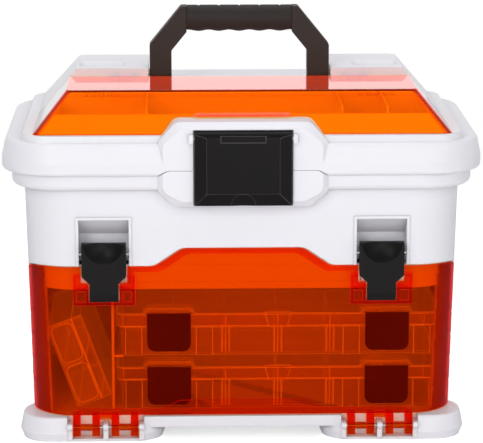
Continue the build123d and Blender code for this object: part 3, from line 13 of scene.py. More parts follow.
import bmesh
import bpy
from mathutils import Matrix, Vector


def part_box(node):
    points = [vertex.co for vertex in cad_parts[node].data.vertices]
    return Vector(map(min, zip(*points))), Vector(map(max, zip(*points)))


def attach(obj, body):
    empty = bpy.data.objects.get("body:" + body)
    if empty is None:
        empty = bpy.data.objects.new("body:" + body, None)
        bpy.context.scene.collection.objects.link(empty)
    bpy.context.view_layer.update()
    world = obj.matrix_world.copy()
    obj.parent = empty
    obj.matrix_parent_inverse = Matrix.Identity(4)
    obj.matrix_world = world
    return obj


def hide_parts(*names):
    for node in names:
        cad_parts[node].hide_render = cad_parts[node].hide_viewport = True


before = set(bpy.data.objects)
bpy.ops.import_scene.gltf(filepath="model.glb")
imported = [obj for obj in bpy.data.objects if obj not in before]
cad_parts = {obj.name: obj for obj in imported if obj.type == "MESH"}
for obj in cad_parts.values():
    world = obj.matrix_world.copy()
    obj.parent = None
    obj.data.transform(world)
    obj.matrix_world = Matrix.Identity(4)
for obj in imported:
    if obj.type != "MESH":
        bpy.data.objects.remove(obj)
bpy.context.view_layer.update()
LOG = logging.getLogger("tackle_box")
MM = 0.001
HEAD_ON = 0.034  # shine of plastic seen straight on, left out as the studio in front is dark
SQUARE = 0.9  # least cosine between an axis and a face picked as facing it
EDGE_RAYS = 4  # samples of a rounded edge in shading
CREASE_SHADE_RAYS = 6  # samples of the painted shade in creases
WHITE = (1.0, 1.0, 1.0)
Colour = tuple[float, float, float]
Socket = bpy.types.NodeSocket
FaceTest = Callable[[Vector, Vector], bool]


class Body(str, Enum):
    """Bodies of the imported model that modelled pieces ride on."""

    CASE = "lower_case"
    HANDLE = "handle"


class Level(str, Enum):
    """Places of the two utility boxes."""

    LOWER = "lower"
    UPPER = "upper"


class Operation(str, Enum):
    """Ways to make one share of two."""

    SUM = "ADD"
    LARGER = "MAXIMUM"


class Mixed(Enum):
    """What a Mix node mixes: its data type and the places of its two inputs and its output."""

    SHARE = ("FLOAT", 2, 3, 0)
    COLOUR = ("RGBA", 6, 7, 2)


# Finishes

class NodeBook:
    """Small helper round the nodes of one material or world."""

    def __init__(self, owner: bpy.types.Material | bpy.types.World, output: str) -> None:
        """Starts the owner with nothing but an output node.

        Args:
            owner: the material or world.
            output: type of its output node without the ShaderNode prefix.
        """
        owner.use_nodes = True
        self.owner = owner
        self.tree = owner.node_tree
        self.tree.nodes.clear()
        self.output = self.add(output)

    def add(self, kind: str, **values: object) -> bpy.types.Node:
        """Adds one node.

        Args:
            kind: node type without its ShaderNode prefix.
            **values: socket values, with spaces in socket names written as underscores.

        Returns:
            The new node.
        """
        node = self.tree.nodes.new(f"ShaderNode{kind}")
        for key, value in values.items():
            node.inputs[key.replace("_", " ")].default_value = value
        return node

    def join(self, source: Socket, target: Socket) -> None:
        """Links two sockets."""
        self.tree.links.new(source, target)

    def finish(self, shader: bpy.types.Node) -> None:
        """Shows a shader on the surface."""
        self.join(shader.outputs[0], self.output.inputs["Surface"])

    def mix_shaders(self, share: Socket, first: bpy.types.Node, second: bpy.types.Node) -> bpy.types.Node:
        """Mixes two shaders.

        Args:
            share: share of the second shader.
            first: shader shown where the share is 0.
            second: shader shown where the share is 1.

        Returns:
            The mixing node.
        """
        node = self.add("MixShader")
        self.join(share, node.inputs["Fac"])
        self.join(first.outputs[0], node.inputs[1])
        self.join(second.outputs[0], node.inputs[2])
        return node

    def mix(self, mixed: Mixed, share: Socket, first: Colour | Socket, second: Colour | Socket) -> Socket:
        """Mixes two colours or two shares.

        Args:
            mixed: what is mixed.
            share: share of the second.
            first: colour, or another node's colour or share.
            second: colour, or another node's colour or share.

        Returns:
            The mixture's socket.
        """
        data_type, first_place, second_place, result_place = mixed.value
        node = self.add("Mix")
        node.data_type = data_type
        self.join(share, node.inputs[0])
        for value, place in ((first, first_place), (second, second_place)):
            if isinstance(value, Socket):
                self.join(value, node.inputs[place])
            else:
                node.inputs[place].default_value = (*value, 1)
        return node.outputs[result_place]

    def noise(self, scale: float, detail: float, stretch: Sequence[float] = (1, 1, 1)) -> Socket:
        """Noise on the piece's own coordinates.

        Args:
            scale: waves per metre.
            detail: octaves.
            stretch: scale of the pattern along each axis.

        Returns:
            The noise value's socket.
        """
        where = self.add("TexCoord")
        mapping = self.add("Mapping", Scale=stretch)
        self.join(where.outputs["Object"], mapping.inputs["Vector"])
        node = self.add("TexNoise", Scale=scale, Detail=detail)
        self.join(mapping.outputs["Vector"], node.inputs["Vector"])
        return node.outputs["Fac"]

    def spread(self, source: Socket, low: float, high: float, start: float = 0.0, end: float = 1.0) -> Socket:
        """Maps one range of values to another.

        Args:
            source: the value.
            low: result at the start.
            high: result at the end.
            start: value that gives the low result.
            end: value that gives the high result.

        Returns:
            The result's socket.
        """
        node = self.add("MapRange", From_Min=start, From_Max=end, To_Min=low, To_Max=high)
        self.join(source, node.inputs["Value"])
        return node.outputs["Result"]

    def work(self, operation: Operation, first: Socket, second: Socket) -> Socket:
        """Makes one share of two and keeps it from 0 to 1.

        Args:
            operation: how the two become one.
            first: one share.
            second: the other share.

        Returns:
            The new share's socket.
        """
        node = self.add("Math")
        node.operation = operation.value
        node.use_clamp = True
        self.join(first, node.inputs[0])
        self.join(second, node.inputs[1])
        return node.outputs[0]

    def slanted(self, shine: Socket, gain: float) -> Socket:
        """Share that is nothing on plastic seen straight on and grows by a gain with its Fresnel shine."""
        return self.spread(shine, 0.0, gain, start=HEAD_ON)

    def by_side(self, front: Socket, back: Socket) -> Socket:
        """Takes one share on faces seen from outside and another on faces seen from within."""
        side = self.add("NewGeometry")
        return self.mix(Mixed.SHARE, side.outputs["Backfacing"], front, back)

    def rounded(self, radius: float) -> Socket:
        """The normal of a surface whose edges are rounded.

        Args:
            radius: the rounding's radius in metres.

        Returns:
            The normal's socket.
        """
        node = self.add("Bevel", Radius=radius)
        node.samples = EDGE_RAYS
        return node.outputs["Normal"]

    def near_edges(self, radius: float, most: float, turn: tuple[float, float]) -> Socket:
        """Share that rises along the piece's edges, where the rounded normal leaves the flat one.

        Args:
            radius: width of the edge in metres.
            most: the share on an edge.
            turn: cosines between the two normals where the share starts and where it is full.

        Returns:
            The share's socket.
        """
        flat = self.add("NewGeometry")
        cosine = self.add("VectorMath")
        cosine.operation = "DOT_PRODUCT"
        self.join(self.rounded(radius), cosine.inputs[0])
        self.join(flat.outputs["Normal"], cosine.inputs[1])
        return self.spread(cosine.outputs["Value"], 0.0, most, *turn)

    def crease_shade_share(self, reach: float) -> Socket:
        """Share of painted shade, which rises where other faces of the same piece stand close by.

        Args:
            reach: how far away a face still counts, in metres.

        Returns:
            The share's socket.
        """
        # painted shade: ambient occlusion darkens the colour where faces stand close
        node = self.add("AmbientOcclusion", Distance=reach)
        node.samples = CREASE_SHADE_RAYS
        node.only_local = True
        return self.spread(node.outputs["AO"], 1.0, 0.0)

    def bump(self, height: Socket, depth: float, radius: float = 0.0) -> Socket:
        """Bump from a height, over edges that are rounded in shading.

        Args:
            height: the height, from 0 to 1.
            depth: how deep 0 lies below 1, in metres.
            radius: the edges' rounding in metres, or 0 for sharp ones.

        Returns:
            The normal's socket.
        """
        node = self.add("Bump", Strength=1.0, Distance=depth)
        self.join(height, node.inputs["Height"])
        if radius:
            self.join(self.rounded(radius), node.inputs["Normal"])
        return node.outputs["Normal"]


@dataclass(frozen=True)
class MouldedPlastic:
    """Opaque injection-moulded plastic with a fine grain.

    Attributes:
        name: material name.
        colour: base colour.
        shade: slightly different colour in broad patches.
        roughness: middle roughness.
        grain: depth of the grain.
        pitch: grain waves per metre.
        edge: radius that shading rounds the edges to.
        shine: level of the surface's mirror shine.
        edge_highlight: painted highlight, a paler colour along its edges where rounded edges would catch the
            light, if any.
        turn: cosines at an edge where the painted highlight starts and where it is full.
        crease_shade: painted shade, a darker colour deep in its creases where less light falls, if any.
        crease_shade_reach: width of a crease that gets the painted shade.
        patch_pitch: patches per metre.
        octaves: levels of detail in patches and grain.
        rough_range: how far the grain changes the roughness, down and up.
    """

    name: str
    colour: Colour
    shade: Colour
    roughness: float
    grain: float
    pitch: float
    edge: float = 1.2 * MM
    shine: float = 0.5
    edge_highlight: Colour | None = None
    turn: tuple[float, float] = (0.98, 0.75)
    crease_shade: Colour | None = None
    crease_shade_reach: float = 14 * MM
    patch_pitch: float = 9.0
    octaves: float = 3.0
    rough_range: tuple[float, float] = (-0.06, 0.08)

    def make(self) -> bpy.types.Material:
        """Builds the material.

        Returns:
            The finished material.
        """
        book = NodeBook(bpy.data.materials.new(self.name), "OutputMaterial")
        shader = book.add("BsdfPrincipled", Specular_IOR_Level=self.shine)
        grain = book.noise(self.pitch, self.octaves)
        tone = book.mix(Mixed.COLOUR, book.noise(self.patch_pitch, self.octaves), self.colour, self.shade)
        # painted shade: the colour darkens in the piece's creases
        if self.crease_shade:
            tone = book.mix(Mixed.COLOUR, book.crease_shade_share(self.crease_shade_reach), tone, self.crease_shade)
        # painted highlight: the colour turns paler along the rounded edges
        if self.edge_highlight:
            tone = book.mix(Mixed.COLOUR, book.near_edges(self.edge, 1.0, self.turn), tone, self.edge_highlight)
        rough = book.spread(grain, *(self.roughness + part for part in self.rough_range))
        book.join(tone, shader.inputs["Base Color"])
        book.join(rough, shader.inputs["Roughness"])
        book.join(book.bump(grain, self.grain, self.edge), shader.inputs["Normal"])
        book.finish(shader)
        return book.owner


@dataclass(frozen=True)
class ClearPlastic:
    """Dyed see-through plastic: its depth deepens the colour, and it shines by the angle it is seen at.

    Attributes:
        name: material name.
        tint: colour that one surface lets through.
        body: colour of the plastic's own haze and of its painted glow.
        haze: share of the haze.
        depth: share of red, green and blue light lost in each millimetre of plastic.
        edge_haze_and_highlight: further share along the mouldings' edges, partly haze and partly a painted
            highlight, as the haze's painted glow lights the edges up.
        slant_haze: further share where the plastic is seen edge on, which brings more of the haze's painted
            glow.
        glow: strength of a painted glow in its haze: the plastic gives light though it is no lamp.
        shine: factor on the shine of the faces seen from outside the plastic.
        inner: factor on the shine of the faces seen from within it.
        gloss: roughness of the shine.
        index: refractive index for the shine.
        edge: radius that shading rounds the edges to.
        edge_turn: cosines at an edge where its haze starts and where it is full.
        haze_roughness: roughness of the haze.
        haze_shine: level of the haze's mirror shine.
        streak_pitch: streaks of haze per metre.
        streak_octaves: levels of detail in the streaks.
        streak_stretch: scale of the streaks along each axis.
        streak_range: factors on the haze between streaks and in them.
        streak_shade: factor on the haze's colour between streaks.
        ripple: depth of the mould's flow ripples.
        ripple_pitch: ripples per metre.
        ripple_octaves: levels of detail in the ripples.
    """

    name: str
    tint: Colour
    body: Colour
    haze: float
    depth: Colour = (0.0, 0.0, 0.0)
    edge_haze_and_highlight: float = 0.9
    slant_haze: float = 0.1
    glow: float = 0.5
    shine: float = 0.5
    inner: float = 0.5
    gloss: float = 0.06
    index: float = 1.45
    edge: float = 1.2 * MM
    edge_turn: tuple[float, float] = (0.98, 0.75)
    haze_roughness: float = 0.35
    haze_shine: float = 0.2
    streak_pitch: float = 22.0
    streak_octaves: float = 2.0
    streak_stretch: tuple[float, float, float] = (1.0, 1.0, 0.35)
    streak_range: tuple[float, float] = (0.8, 1.2)
    streak_shade: float = 0.8
    ripple: float = 0.02 * MM
    ripple_pitch: float = 60.0
    ripple_octaves: float = 1.0

    def make(self) -> bpy.types.Material:
        """Builds the material: lamps and daylight pass it unhindered, and the eye meets its colour and shine.

        Returns:
            The finished material.
        """
        book = NodeBook(bpy.data.materials.new(self.name), "OutputMaterial")
        streaks = book.noise(self.streak_pitch, self.streak_octaves, self.streak_stretch)
        normal = book.bump(book.noise(self.ripple_pitch, self.ripple_octaves), self.ripple, self.edge)
        angle = book.add("Fresnel", IOR=self.index)
        book.join(normal, angle.inputs["Normal"])
        slant = angle.outputs["Fac"]
        clear = book.add("BsdfTransparent", Color=(*self.tint, 1))
        hazy = book.mix_shaders(self.haze_share(book, streaks, slant), clear, self.haze_shader(book, streaks))
        shine = book.add("BsdfGlossy", Roughness=self.gloss)
        book.join(normal, shine.inputs["Normal"])
        mirrored = book.by_side(book.slanted(slant, self.shine), book.slanted(slant, self.inner))
        seen = book.mix_shaders(mirrored, hazy, shine)
        path = book.add("LightPath")
        lighting = book.work(Operation.LARGER, path.outputs["Is Shadow Ray"], path.outputs["Is Diffuse Ray"])
        book.finish(book.mix_shaders(lighting, seen, book.add("BsdfTransparent", Color=(*WHITE, 1))))
        self.dye(book)
        return book.owner

    def haze_share(self, book: NodeBook, streaks: Socket, slant: Socket) -> Socket:
        """Works out how much haze shows: in streaks, more on a slant, and along the edges as a painted
        highlight.

        Args:
            book: the material's nodes.
            streaks: noise of the streaks.
            slant: Fresnel shine.

        Returns:
            The share's socket.
        """
        share = book.spread(streaks, *(self.haze * part for part in self.streak_range))
        share = book.work(Operation.SUM, share, book.slanted(slant, self.slant_haze))
        # painted highlight: more glowing haze along the edges lights them up
        return book.work(Operation.SUM, share, book.near_edges(self.edge, self.edge_haze_and_highlight, self.edge_turn))

    def haze_shader(self, book: NodeBook, streaks: Socket) -> bpy.types.Node:
        """Makes the haze, which has a painted glow in its own colour: it gives light though it is no lamp.

        Args:
            book: the material's nodes.
            streaks: noise of the streaks.

        Returns:
            The haze's shader.
        """
        # painted glow: emission in the haze's own colour
        haze = book.add("BsdfPrincipled", Roughness=self.haze_roughness, Specular_IOR_Level=self.haze_shine,
                        Emission_Color=(*self.body, 1), Emission_Strength=self.glow)
        deeper = tuple(self.streak_shade * part for part in self.body)
        book.join(book.mix(Mixed.COLOUR, streaks, deeper, self.body), haze.inputs["Base Color"])
        return haze

    def dye(self, book: NodeBook) -> None:
        """Fills the plastic with its dye, where it has one.

        Args:
            book: the material's nodes.
        """
        strongest = max(self.depth)
        if strongest:
            passing = tuple(1 - part / strongest for part in self.depth)
            dye = book.add("VolumeAbsorption", Color=(*passing, 1), Density=strongest / MM)
            book.join(dye.outputs["Volume"], book.output.inputs["Volume"])


@dataclass(frozen=True)
class DrawnSteel:
    """Bright wire steel of the hinge pins, with fine lines along X.

    Attributes:
        name: material name.
        colour: colour of the steel.
        darker: factor on the colour in the lines.
        line_pitch: lines per metre.
        line_octaves: levels of detail in the lines.
        line_stretch: scale of the lines along each axis.
        line_depth: depth of the lines.
        rough_range: roughness in the lines and between them.
    """

    name: str = "pin_wire_steel"
    colour: Colour = (0.56, 0.56, 0.58)
    darker: float = 0.7
    line_pitch: float = 1800.0
    line_octaves: float = 2.0
    line_stretch: tuple[float, float, float] = (0.03, 1.0, 1.0)
    line_depth: float = 0.01 * MM
    rough_range: tuple[float, float] = (0.22, 0.4)

    def make(self) -> bpy.types.Material:
        """Builds the material.

        Returns:
            The finished material.
        """
        book = NodeBook(bpy.data.materials.new(self.name), "OutputMaterial")
        shader = book.add("BsdfPrincipled", Metallic=1.0)
        lines = book.noise(self.line_pitch, self.line_octaves, self.line_stretch)
        dark = tuple(self.darker * part for part in self.colour)
        book.join(book.mix(Mixed.COLOUR, lines, dark, self.colour), shader.inputs["Base Color"])
        book.join(book.spread(lines, *self.rough_range), shader.inputs["Roughness"])
        book.join(book.bump(lines, self.line_depth), shader.inputs["Normal"])
        book.finish(shader)
        return book.owner


@dataclass(frozen=True)
class StudioFloor:
    """Pale floor that a camera sees white, apart from the case's own shadow.

    Attributes:
        name: material name.
        colour: colour of the floor.
        glow: light that only the camera sees it give.
    """

    name: str = "studio_floor"
    colour: Colour = (0.9, 0.9, 0.9)
    glow: float = 0.6

    def make(self) -> bpy.types.Material:
        """Builds the material.

        Returns:
            The finished material.
        """
        book = NodeBook(bpy.data.materials.new(self.name), "OutputMaterial")
        plain = book.add("BsdfDiffuse", Color=(*self.colour, 1))
        light = book.add("Emission", Color=(*WHITE, 1), Strength=self.glow)
        both = book.add("AddShader")
        book.join(plain.outputs["BSDF"], both.inputs[0])
        book.join(light.outputs["Emission"], both.inputs[1])
        path = book.add("LightPath")
        book.finish(book.mix_shaders(path.outputs["Is Camera Ray"], plain, both))
        return book.owner


class Palette:
    """Every finish of the case, built once."""

    def __init__(self) -> None:
        """Builds the materials."""
        # the white shell gets painted shade in its creases
        self.white = MouldedPlastic(
            name="white_shell_plastic", colour=(0.83, 0.82, 0.86), shade=(0.79, 0.79, 0.83),
            roughness=0.38, grain=0.04 * MM, pitch=1400.0, crease_shade=(0.45, 0.44, 0.48)).make()
        self.tray_white = MouldedPlastic(
            name="tray_plastic", colour=(0.86, 0.85, 0.86), shade=(0.82, 0.81, 0.82),
            roughness=0.42, grain=0.02 * MM, pitch=900.0, edge=0.8 * MM).make()
        # the black latches, the handle and the grip get a painted highlight along their edges
        self.black = MouldedPlastic(
            name="black_latch_plastic", colour=(0.0055, 0.0045, 0.005), shade=(0.008, 0.0065, 0.007),
            roughness=0.36, grain=0.05 * MM, pitch=1600.0, edge=0.9 * MM, shine=0.1,
            edge_highlight=(0.11, 0.10, 0.10), turn=(0.9996, 0.996)).make()
        self.door_black = MouldedPlastic(
            name="door_latch_plastic", colour=(0.006, 0.005, 0.0055), shade=(0.009, 0.0075, 0.008),
            roughness=0.4, grain=0.05 * MM, pitch=1600.0, edge=1.0 * MM, shine=0.14,
            edge_highlight=(0.03, 0.027, 0.027), turn=(0.99, 0.85)).make()
        self.handle = MouldedPlastic(
            name="handle_plastic", colour=(0.030, 0.022, 0.019), shade=(0.040, 0.030, 0.026),
            roughness=0.5, grain=0.06 * MM, pitch=1500.0, edge=1.0 * MM, shine=0.2,
            edge_highlight=(0.06, 0.045, 0.04)).make()
        self.grip = MouldedPlastic(
            name="soft_grip_rubber", colour=(0.022, 0.019, 0.017), shade=(0.032, 0.027, 0.024),
            roughness=0.6, grain=0.08 * MM, pitch=1100.0, shine=0.25, edge_highlight=(0.06, 0.055, 0.045)).make()
        self.box_latch = MouldedPlastic(
            name="box_latch_plastic", colour=(0.012, 0.011, 0.010), shade=(0.018, 0.016, 0.015),
            roughness=0.45, grain=0.03 * MM, pitch=1500.0, edge=0.6 * MM, shine=0.2).make()
        # the clear plastics give a painted glow in their haze, strongest on the cover
        self.cover = ClearPlastic(
            name="amber_cover", tint=(1.0, 0.80, 0.5), depth=(0.0, 0.20, 1.2), body=(1.0, 0.06, 0.0),
            haze=0.03, edge_haze_and_highlight=0.06, slant_haze=0.5, glow=5.0, shine=1.85, inner=1.85,
            edge=1.8 * MM).make()
        # the door, the boxes and the small case get a painted highlight along their edges
        self.door = ClearPlastic(
            name="amber_door", tint=(1.0, 0.71, 0.4), depth=(0.003, 0.27, 1.4), body=(0.5, 0.004, 0.0),
            haze=0.03, edge_haze_and_highlight=0.8, slant_haze=0.03, glow=1.5, shine=0.3, inner=0.85).make()
        self.box_clear = ClearPlastic(
            name="utility_box_clear", tint=(0.98, 0.90, 0.88), body=(0.9, 0.60, 0.50), haze=0.03,
            edge=1.6 * MM).make()
        self.case_clear = ClearPlastic(
            name="small_case_clear", tint=(0.95, 0.86, 0.84), body=(0.9, 0.58, 0.48), haze=0.08,
            glow=0.45, edge=1.8 * MM).make()
        self.steel = DrawnSteel().make()
        self.floor = StudioFloor().make()


# Modelling helpers

def deselect() -> None:
    """Leaves nothing selected."""
    if bpy.context.object and bpy.context.object.mode != "OBJECT":
        bpy.ops.object.mode_set(mode="OBJECT")
    bpy.ops.object.select_all(action="DESELECT")


def focus(piece: bpy.types.Object) -> None:
    """Selects one piece alone and makes it active.

    Args:
        piece: the piece.
    """
    deselect()
    piece.select_set(True)
    bpy.context.view_layer.objects.active = piece


@contextmanager
def editing(piece: bpy.types.Object) -> Iterator[None]:
    """Edit mode on one piece, with nothing selected in it at first.

    Args:
        piece: the piece.

    Returns:
        The context that the piece is edited in.
    """
    focus(piece)
    bpy.ops.object.mode_set(mode="EDIT")
    bpy.ops.mesh.select_all(action="DESELECT")
    yield
    bpy.ops.object.mode_set(mode="OBJECT")


def pick(piece: bpy.types.Object, test: FaceTest) -> None:
    """Selects the faces of a piece in edit mode that pass a test on their middle and normal.

    Args:
        piece: the piece in edit mode.
        test: takes a face's middle and its normal.
    """
    bpy.ops.mesh.select_mode(type="FACE")
    bpy.ops.mesh.select_all(action="DESELECT")
    mesh = bmesh.from_edit_mesh(piece.data)
    for face in mesh.faces:
        if test(face.calc_center_median(), face.normal):
            face.select = True
    bmesh.update_edit_mesh(piece.data)


def extrude(x: float, y: float, z: float) -> None:
    """Extrudes the selected faces and moves the new ones."""
    bpy.ops.mesh.extrude_region_move(TRANSFORM_OT_translate={"value": (x, y, z)})


def settle(piece: bpy.types.Object, name: str, material: bpy.types.Material, body: Body,
           angle: float = 35.0) -> bpy.types.Object:
    """Names, shades, dresses and hangs a finished piece.

    Args:
        piece: the finished piece.
        name: its name.
        material: its finish.
        body: the body it moves with.
        angle: degrees below which neighbouring faces shade smoothly.

    Returns:
        The piece.
    """
    focus(piece)
    bpy.ops.object.transform_apply(location=True, rotation=True, scale=True)
    bpy.ops.object.shade_smooth_by_angle(angle=math.radians(angle))
    piece.name = name
    piece.data.materials.clear()
    piece.data.materials.append(material)
    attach(piece, body.value)
    return piece


def dress(material: bpy.types.Material, *nodes: str) -> list[str]:
    """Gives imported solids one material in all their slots.

    Args:
        material: the finish.
        *nodes: the solids' names.

    Returns:
        The names.
    """
    for node in nodes:
        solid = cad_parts[node]
        solid.data.materials.clear()
        solid.data.materials.append(material)
    return list(nodes)


# Sub-assemblies

@dataclass
class SubAssembly:
    """What every sub-assembly of the case has.

    Attributes:
        palette: finishes.
    """

    palette: Palette

    def build(self) -> list[str]:
        """Models and dresses the pieces, and gives their names."""
        raise NotImplementedError


@dataclass
class LowerCase(SubAssembly):
    """Base, cabinet and tub: the white body of the case, with its pins.

    Attributes:
        shells: white solids.
        pins: steel solids.
        skirt_x: half width of the gap in the tub's sunk wall behind the raised middle of the door.
        skirt_z: lower and upper edge of that gap.
        skirt_y: outer and inner face of the sunk wall.
        skirt_draft: how far the wall leans out over the gap's height.
        skirt_lip: how far the panel passes the gap's upper edge and the wall's inner face.
        lap: how far the panel reaches behind the wall at either side.
        lap_wall: thickness of the panel behind the wall.
        rim: width of the rim round the panel's back.
        sink: depth of the back within that rim.
    """

    shells: tuple[str, ...] = ("base_plinth", "lower_cabinet", "upper_tub", "bay_partition")
    pins: tuple[str, ...] = ("door_hinge_pins", "lid_hinge_pins", "door_latch_pins")
    skirt_x: float = 128 * MM
    skirt_z: tuple[float, float] = (177 * MM, 196 * MM)
    skirt_y: tuple[float, float] = (-134.1 * MM, -131 * MM)
    skirt_draft: float = 0.4 * MM
    skirt_lip: float = 0.05 * MM
    lap: float = 4 * MM
    lap_wall: float = 1.5 * MM
    rim: float = 2 * MM
    sink: float = 0.4 * MM

    def close_skirt(self) -> bpy.types.Object:
        """Models the panel that closes the tub's sunk wall, drafted as the wall is and lapped behind it.

        Returns:
            The finished panel.
        """
        (outer, inner), (foot, top) = self.skirt_y, self.skirt_z
        deselect()
        bpy.ops.mesh.primitive_cube_add(size=1, location=(0, (outer + inner) / 2, (foot + top) / 2),
                                        scale=(2 * self.skirt_x, inner - outer, top - foot))
        panel = bpy.context.object
        bpy.ops.object.transform_apply(location=True, rotation=True, scale=True)
        with editing(panel):
            pick(panel, lambda middle, normal: normal.z > SQUARE)
            bpy.ops.transform.translate(value=(0, -self.skirt_draft, self.skirt_lip))
            pick(panel, lambda middle, normal: normal.y > SQUARE)
            extrude(0, self.skirt_lip, 0)
            extrude(0, self.lap_wall, 0)
            pick(panel, lambda middle, normal: abs(normal.x) > SQUARE and middle.y > inner)
            bpy.ops.mesh.extrude_region_shrink_fatten(TRANSFORM_OT_shrink_fatten={"value": self.lap})
            pick(panel, lambda middle, normal: normal.y > SQUARE)
            bpy.ops.mesh.inset(thickness=self.rim, depth=-self.sink)
        return settle(panel, "tub_skirt_panel", self.palette.white, Body.CASE)

    def build(self) -> list[str]:
        """Closes the tub's sunk wall, and dresses the shells and the pins.

        Returns:
            Names of the pieces.
        """
        panel = self.close_skirt()
        return [panel.name, *dress(self.palette.white, *self.shells), *dress(self.palette.steel, *self.pins)]


@dataclass
class Lid(SubAssembly):
    """Lid shell with its tray, dividers and the see-through cover.

    Attributes:
        pins: steel solids.
    """

    pins: tuple[str, ...] = ("cover_hinge_pins", "handle_pins", "main_latch_pin")

    def build(self) -> list[str]:
        """Dresses the lid's solids.

        Returns:
            Names of the pieces.
        """
        return [*dress(self.palette.white, "lid_shell"),
                *dress(self.palette.tray_white, "lid_tray", "tray_dividers"),
                *dress(self.palette.cover, "top_cover"),
                *dress(self.palette.steel, *self.pins)]


@dataclass
class CarryingHandle(SubAssembly):
    """Bent frame and the soft grip round its bar.

    Attributes:
        pitch: length of one finger lobe.
        lobes: finger lobes, the middle one over the bar's middle.
        swell: how far a lobe hangs below the plain section.
        notch: depth of the nick across the top of each lobe.
        nick: half width of a nick.
        nick_parts: places of rings across a nick, as shares of its half width.
        end_round: how far the section draws in at the grip's ends.
        lobe_rings: rings along one lobe.
        ring_points: points round one ring.
        least_gap: distance below which the first of two rings is left out.
        smooth_angle: degrees below which neighbouring faces shade smoothly.
    """

    pitch: float = 22.7 * MM
    lobes: int = 5
    swell: float = 1.5 * MM
    notch: float = 0.9 * MM
    nick: float = 1.5 * MM
    nick_parts: tuple[float, ...] = (-1, -0.4, 0.4, 1)
    end_round: float = 1.2 * MM
    lobe_rings: int = 12
    ring_points: int = 48
    least_gap: float = 0.2 * MM
    smooth_angle: float = 60.0

    def build(self) -> list[str]:
        """Dresses the frame and models the grip.

        Returns:
            Names of the pieces.
        """
        frame_names = dress(self.palette.handle, "handle_frame")
        grip = self.shape_grip()
        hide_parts("handle_grip")
        return [*frame_names, grip.name]

    def on_lobes(self, off: float) -> bool:
        """Tells whether a distance from the grip's middle lies on the lobes."""
        return abs(off) < self.lobes * self.pitch / 2

    def hang(self, off: float) -> float:
        """How far the underside hangs at a distance from the grip's middle."""
        wave = 0.5 * (1 + math.cos(2 * math.pi * off / self.pitch))
        return self.swell * wave if self.on_lobes(off) else 0.0

    def nicked(self, off: float) -> float:
        """How deep the top is nicked at a distance from the grip's middle."""
        near = abs(off - self.pitch * round(off / self.pitch))
        return self.notch * max(0.0, 1 - near / self.nick) if self.on_lobes(off) else 0.0

    def places(self, half: float) -> list[float]:
        """Spaces the rings, closer together at the nicks and the ends.

        Args:
            half: half the grip's length.

        Returns:
            Distances of the rings from the grip's middle, in order.
        """
        step, reach = self.pitch / self.lobe_rings, self.lobes // 2
        found = {-half, half, -half + self.end_round, half - self.end_round}
        found.update(i * step for i in range(-int(half / step), int(half / step) + 1))
        for lobe in range(-reach, reach + 1):
            found.update(lobe * self.pitch + part * self.nick for part in self.nick_parts)
        ordered = sorted(place for place in found if -half <= place <= half)
        pairs = zip(ordered, ordered[1:])
        return [place for place, after in pairs if after - place > self.least_gap] + [half]

    def shape_grip(self) -> bpy.types.Object:
        """Models the grip by drawing a rounded section along the bar.

        Returns:
            The finished grip.
        """
        low, high = (Vector(corner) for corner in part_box("handle_grip"))
        middle, half = (low + high) / 2, (high.x - low.x) / 2
        half_y, plain = (high.y - low.y) / 2, high.z - low.z - self.swell
        rings = self.places(half)
        deselect()
        bpy.ops.mesh.primitive_circle_add(vertices=self.ring_points, radius=plain / 2, fill_type="NGON",
                                          location=(middle.x + rings[0], middle.y, high.z - plain / 2),
                                          rotation=(0, math.pi / 2, 0))
        grip = bpy.context.object
        bpy.ops.object.transform_apply(location=True, rotation=True, scale=True)
        wide, deep, top = plain / 2, plain, high.z
        with editing(grip):
            bpy.ops.mesh.select_all(action="SELECT")
            for i, place in enumerate(rings):
                if i:
                    extrude(place - rings[i - 1], 0, 0)
                drawn = self.end_round if i in (0, len(rings) - 1) else 0.0
                new_top = high.z - self.nicked(place) - drawn
                new_deep = new_top - (high.z - plain - self.hang(place)) - drawn
                new_wide = half_y - drawn
                bpy.ops.transform.resize(value=(1, new_wide / wide, new_deep / deep),
                                         center_override=(middle.x + place, middle.y, top))
                bpy.ops.transform.translate(value=(0, 0, new_top - top))
                wide, deep, top = new_wide, new_deep, new_top
            bpy.ops.mesh.select_all(action="SELECT")
            bpy.ops.mesh.normals_make_consistent(inside=False)
        return settle(grip, "soft_grip_sleeve", self.palette.grip, Body.HANDLE,
                      self.smooth_angle)


@dataclass
class Latches(SubAssembly):
    """Main latch on the lid and the two door latches."""

    def build(self) -> list[str]:
        """Dresses the latches.

        Returns:
            Names of the pieces.
        """
        return [*dress(self.palette.black, "main_latch"),
                *dress(self.palette.door_black, "door_latch_left", "door_latch_right")]


@dataclass
class FrontDoor(SubAssembly):
    """Wrap-around see-through door."""

    def build(self) -> list[str]:
        """Dresses the door and gives its name."""
        return dress(self.palette.door, "front_door")


@dataclass
class UtilityBox(SubAssembly):
    """One flat box with its lid, dividers and two latches.

    Attributes:
        level: the box's place in the stack.
    """

    level: Level

    def build(self) -> list[str]:
        """Dresses the box.

        Returns:
            Names of the pieces.
        """
        box = f"{self.level.value}_box"
        return [*dress(self.palette.box_clear, f"{box}_base", f"{box}_lid", f"{box}_dividers"),
                *dress(self.palette.box_latch, f"{box}_latch_left", f"{box}_latch_right")]


@dataclass
class SmallCase(SubAssembly):
    """Leaning two-compartment case in the side bay."""

    def build(self) -> list[str]:
        """Dresses the case and gives its pieces' names."""
        return dress(self.palette.case_clear, "small_case_base", "small_case_lid")


# Studio

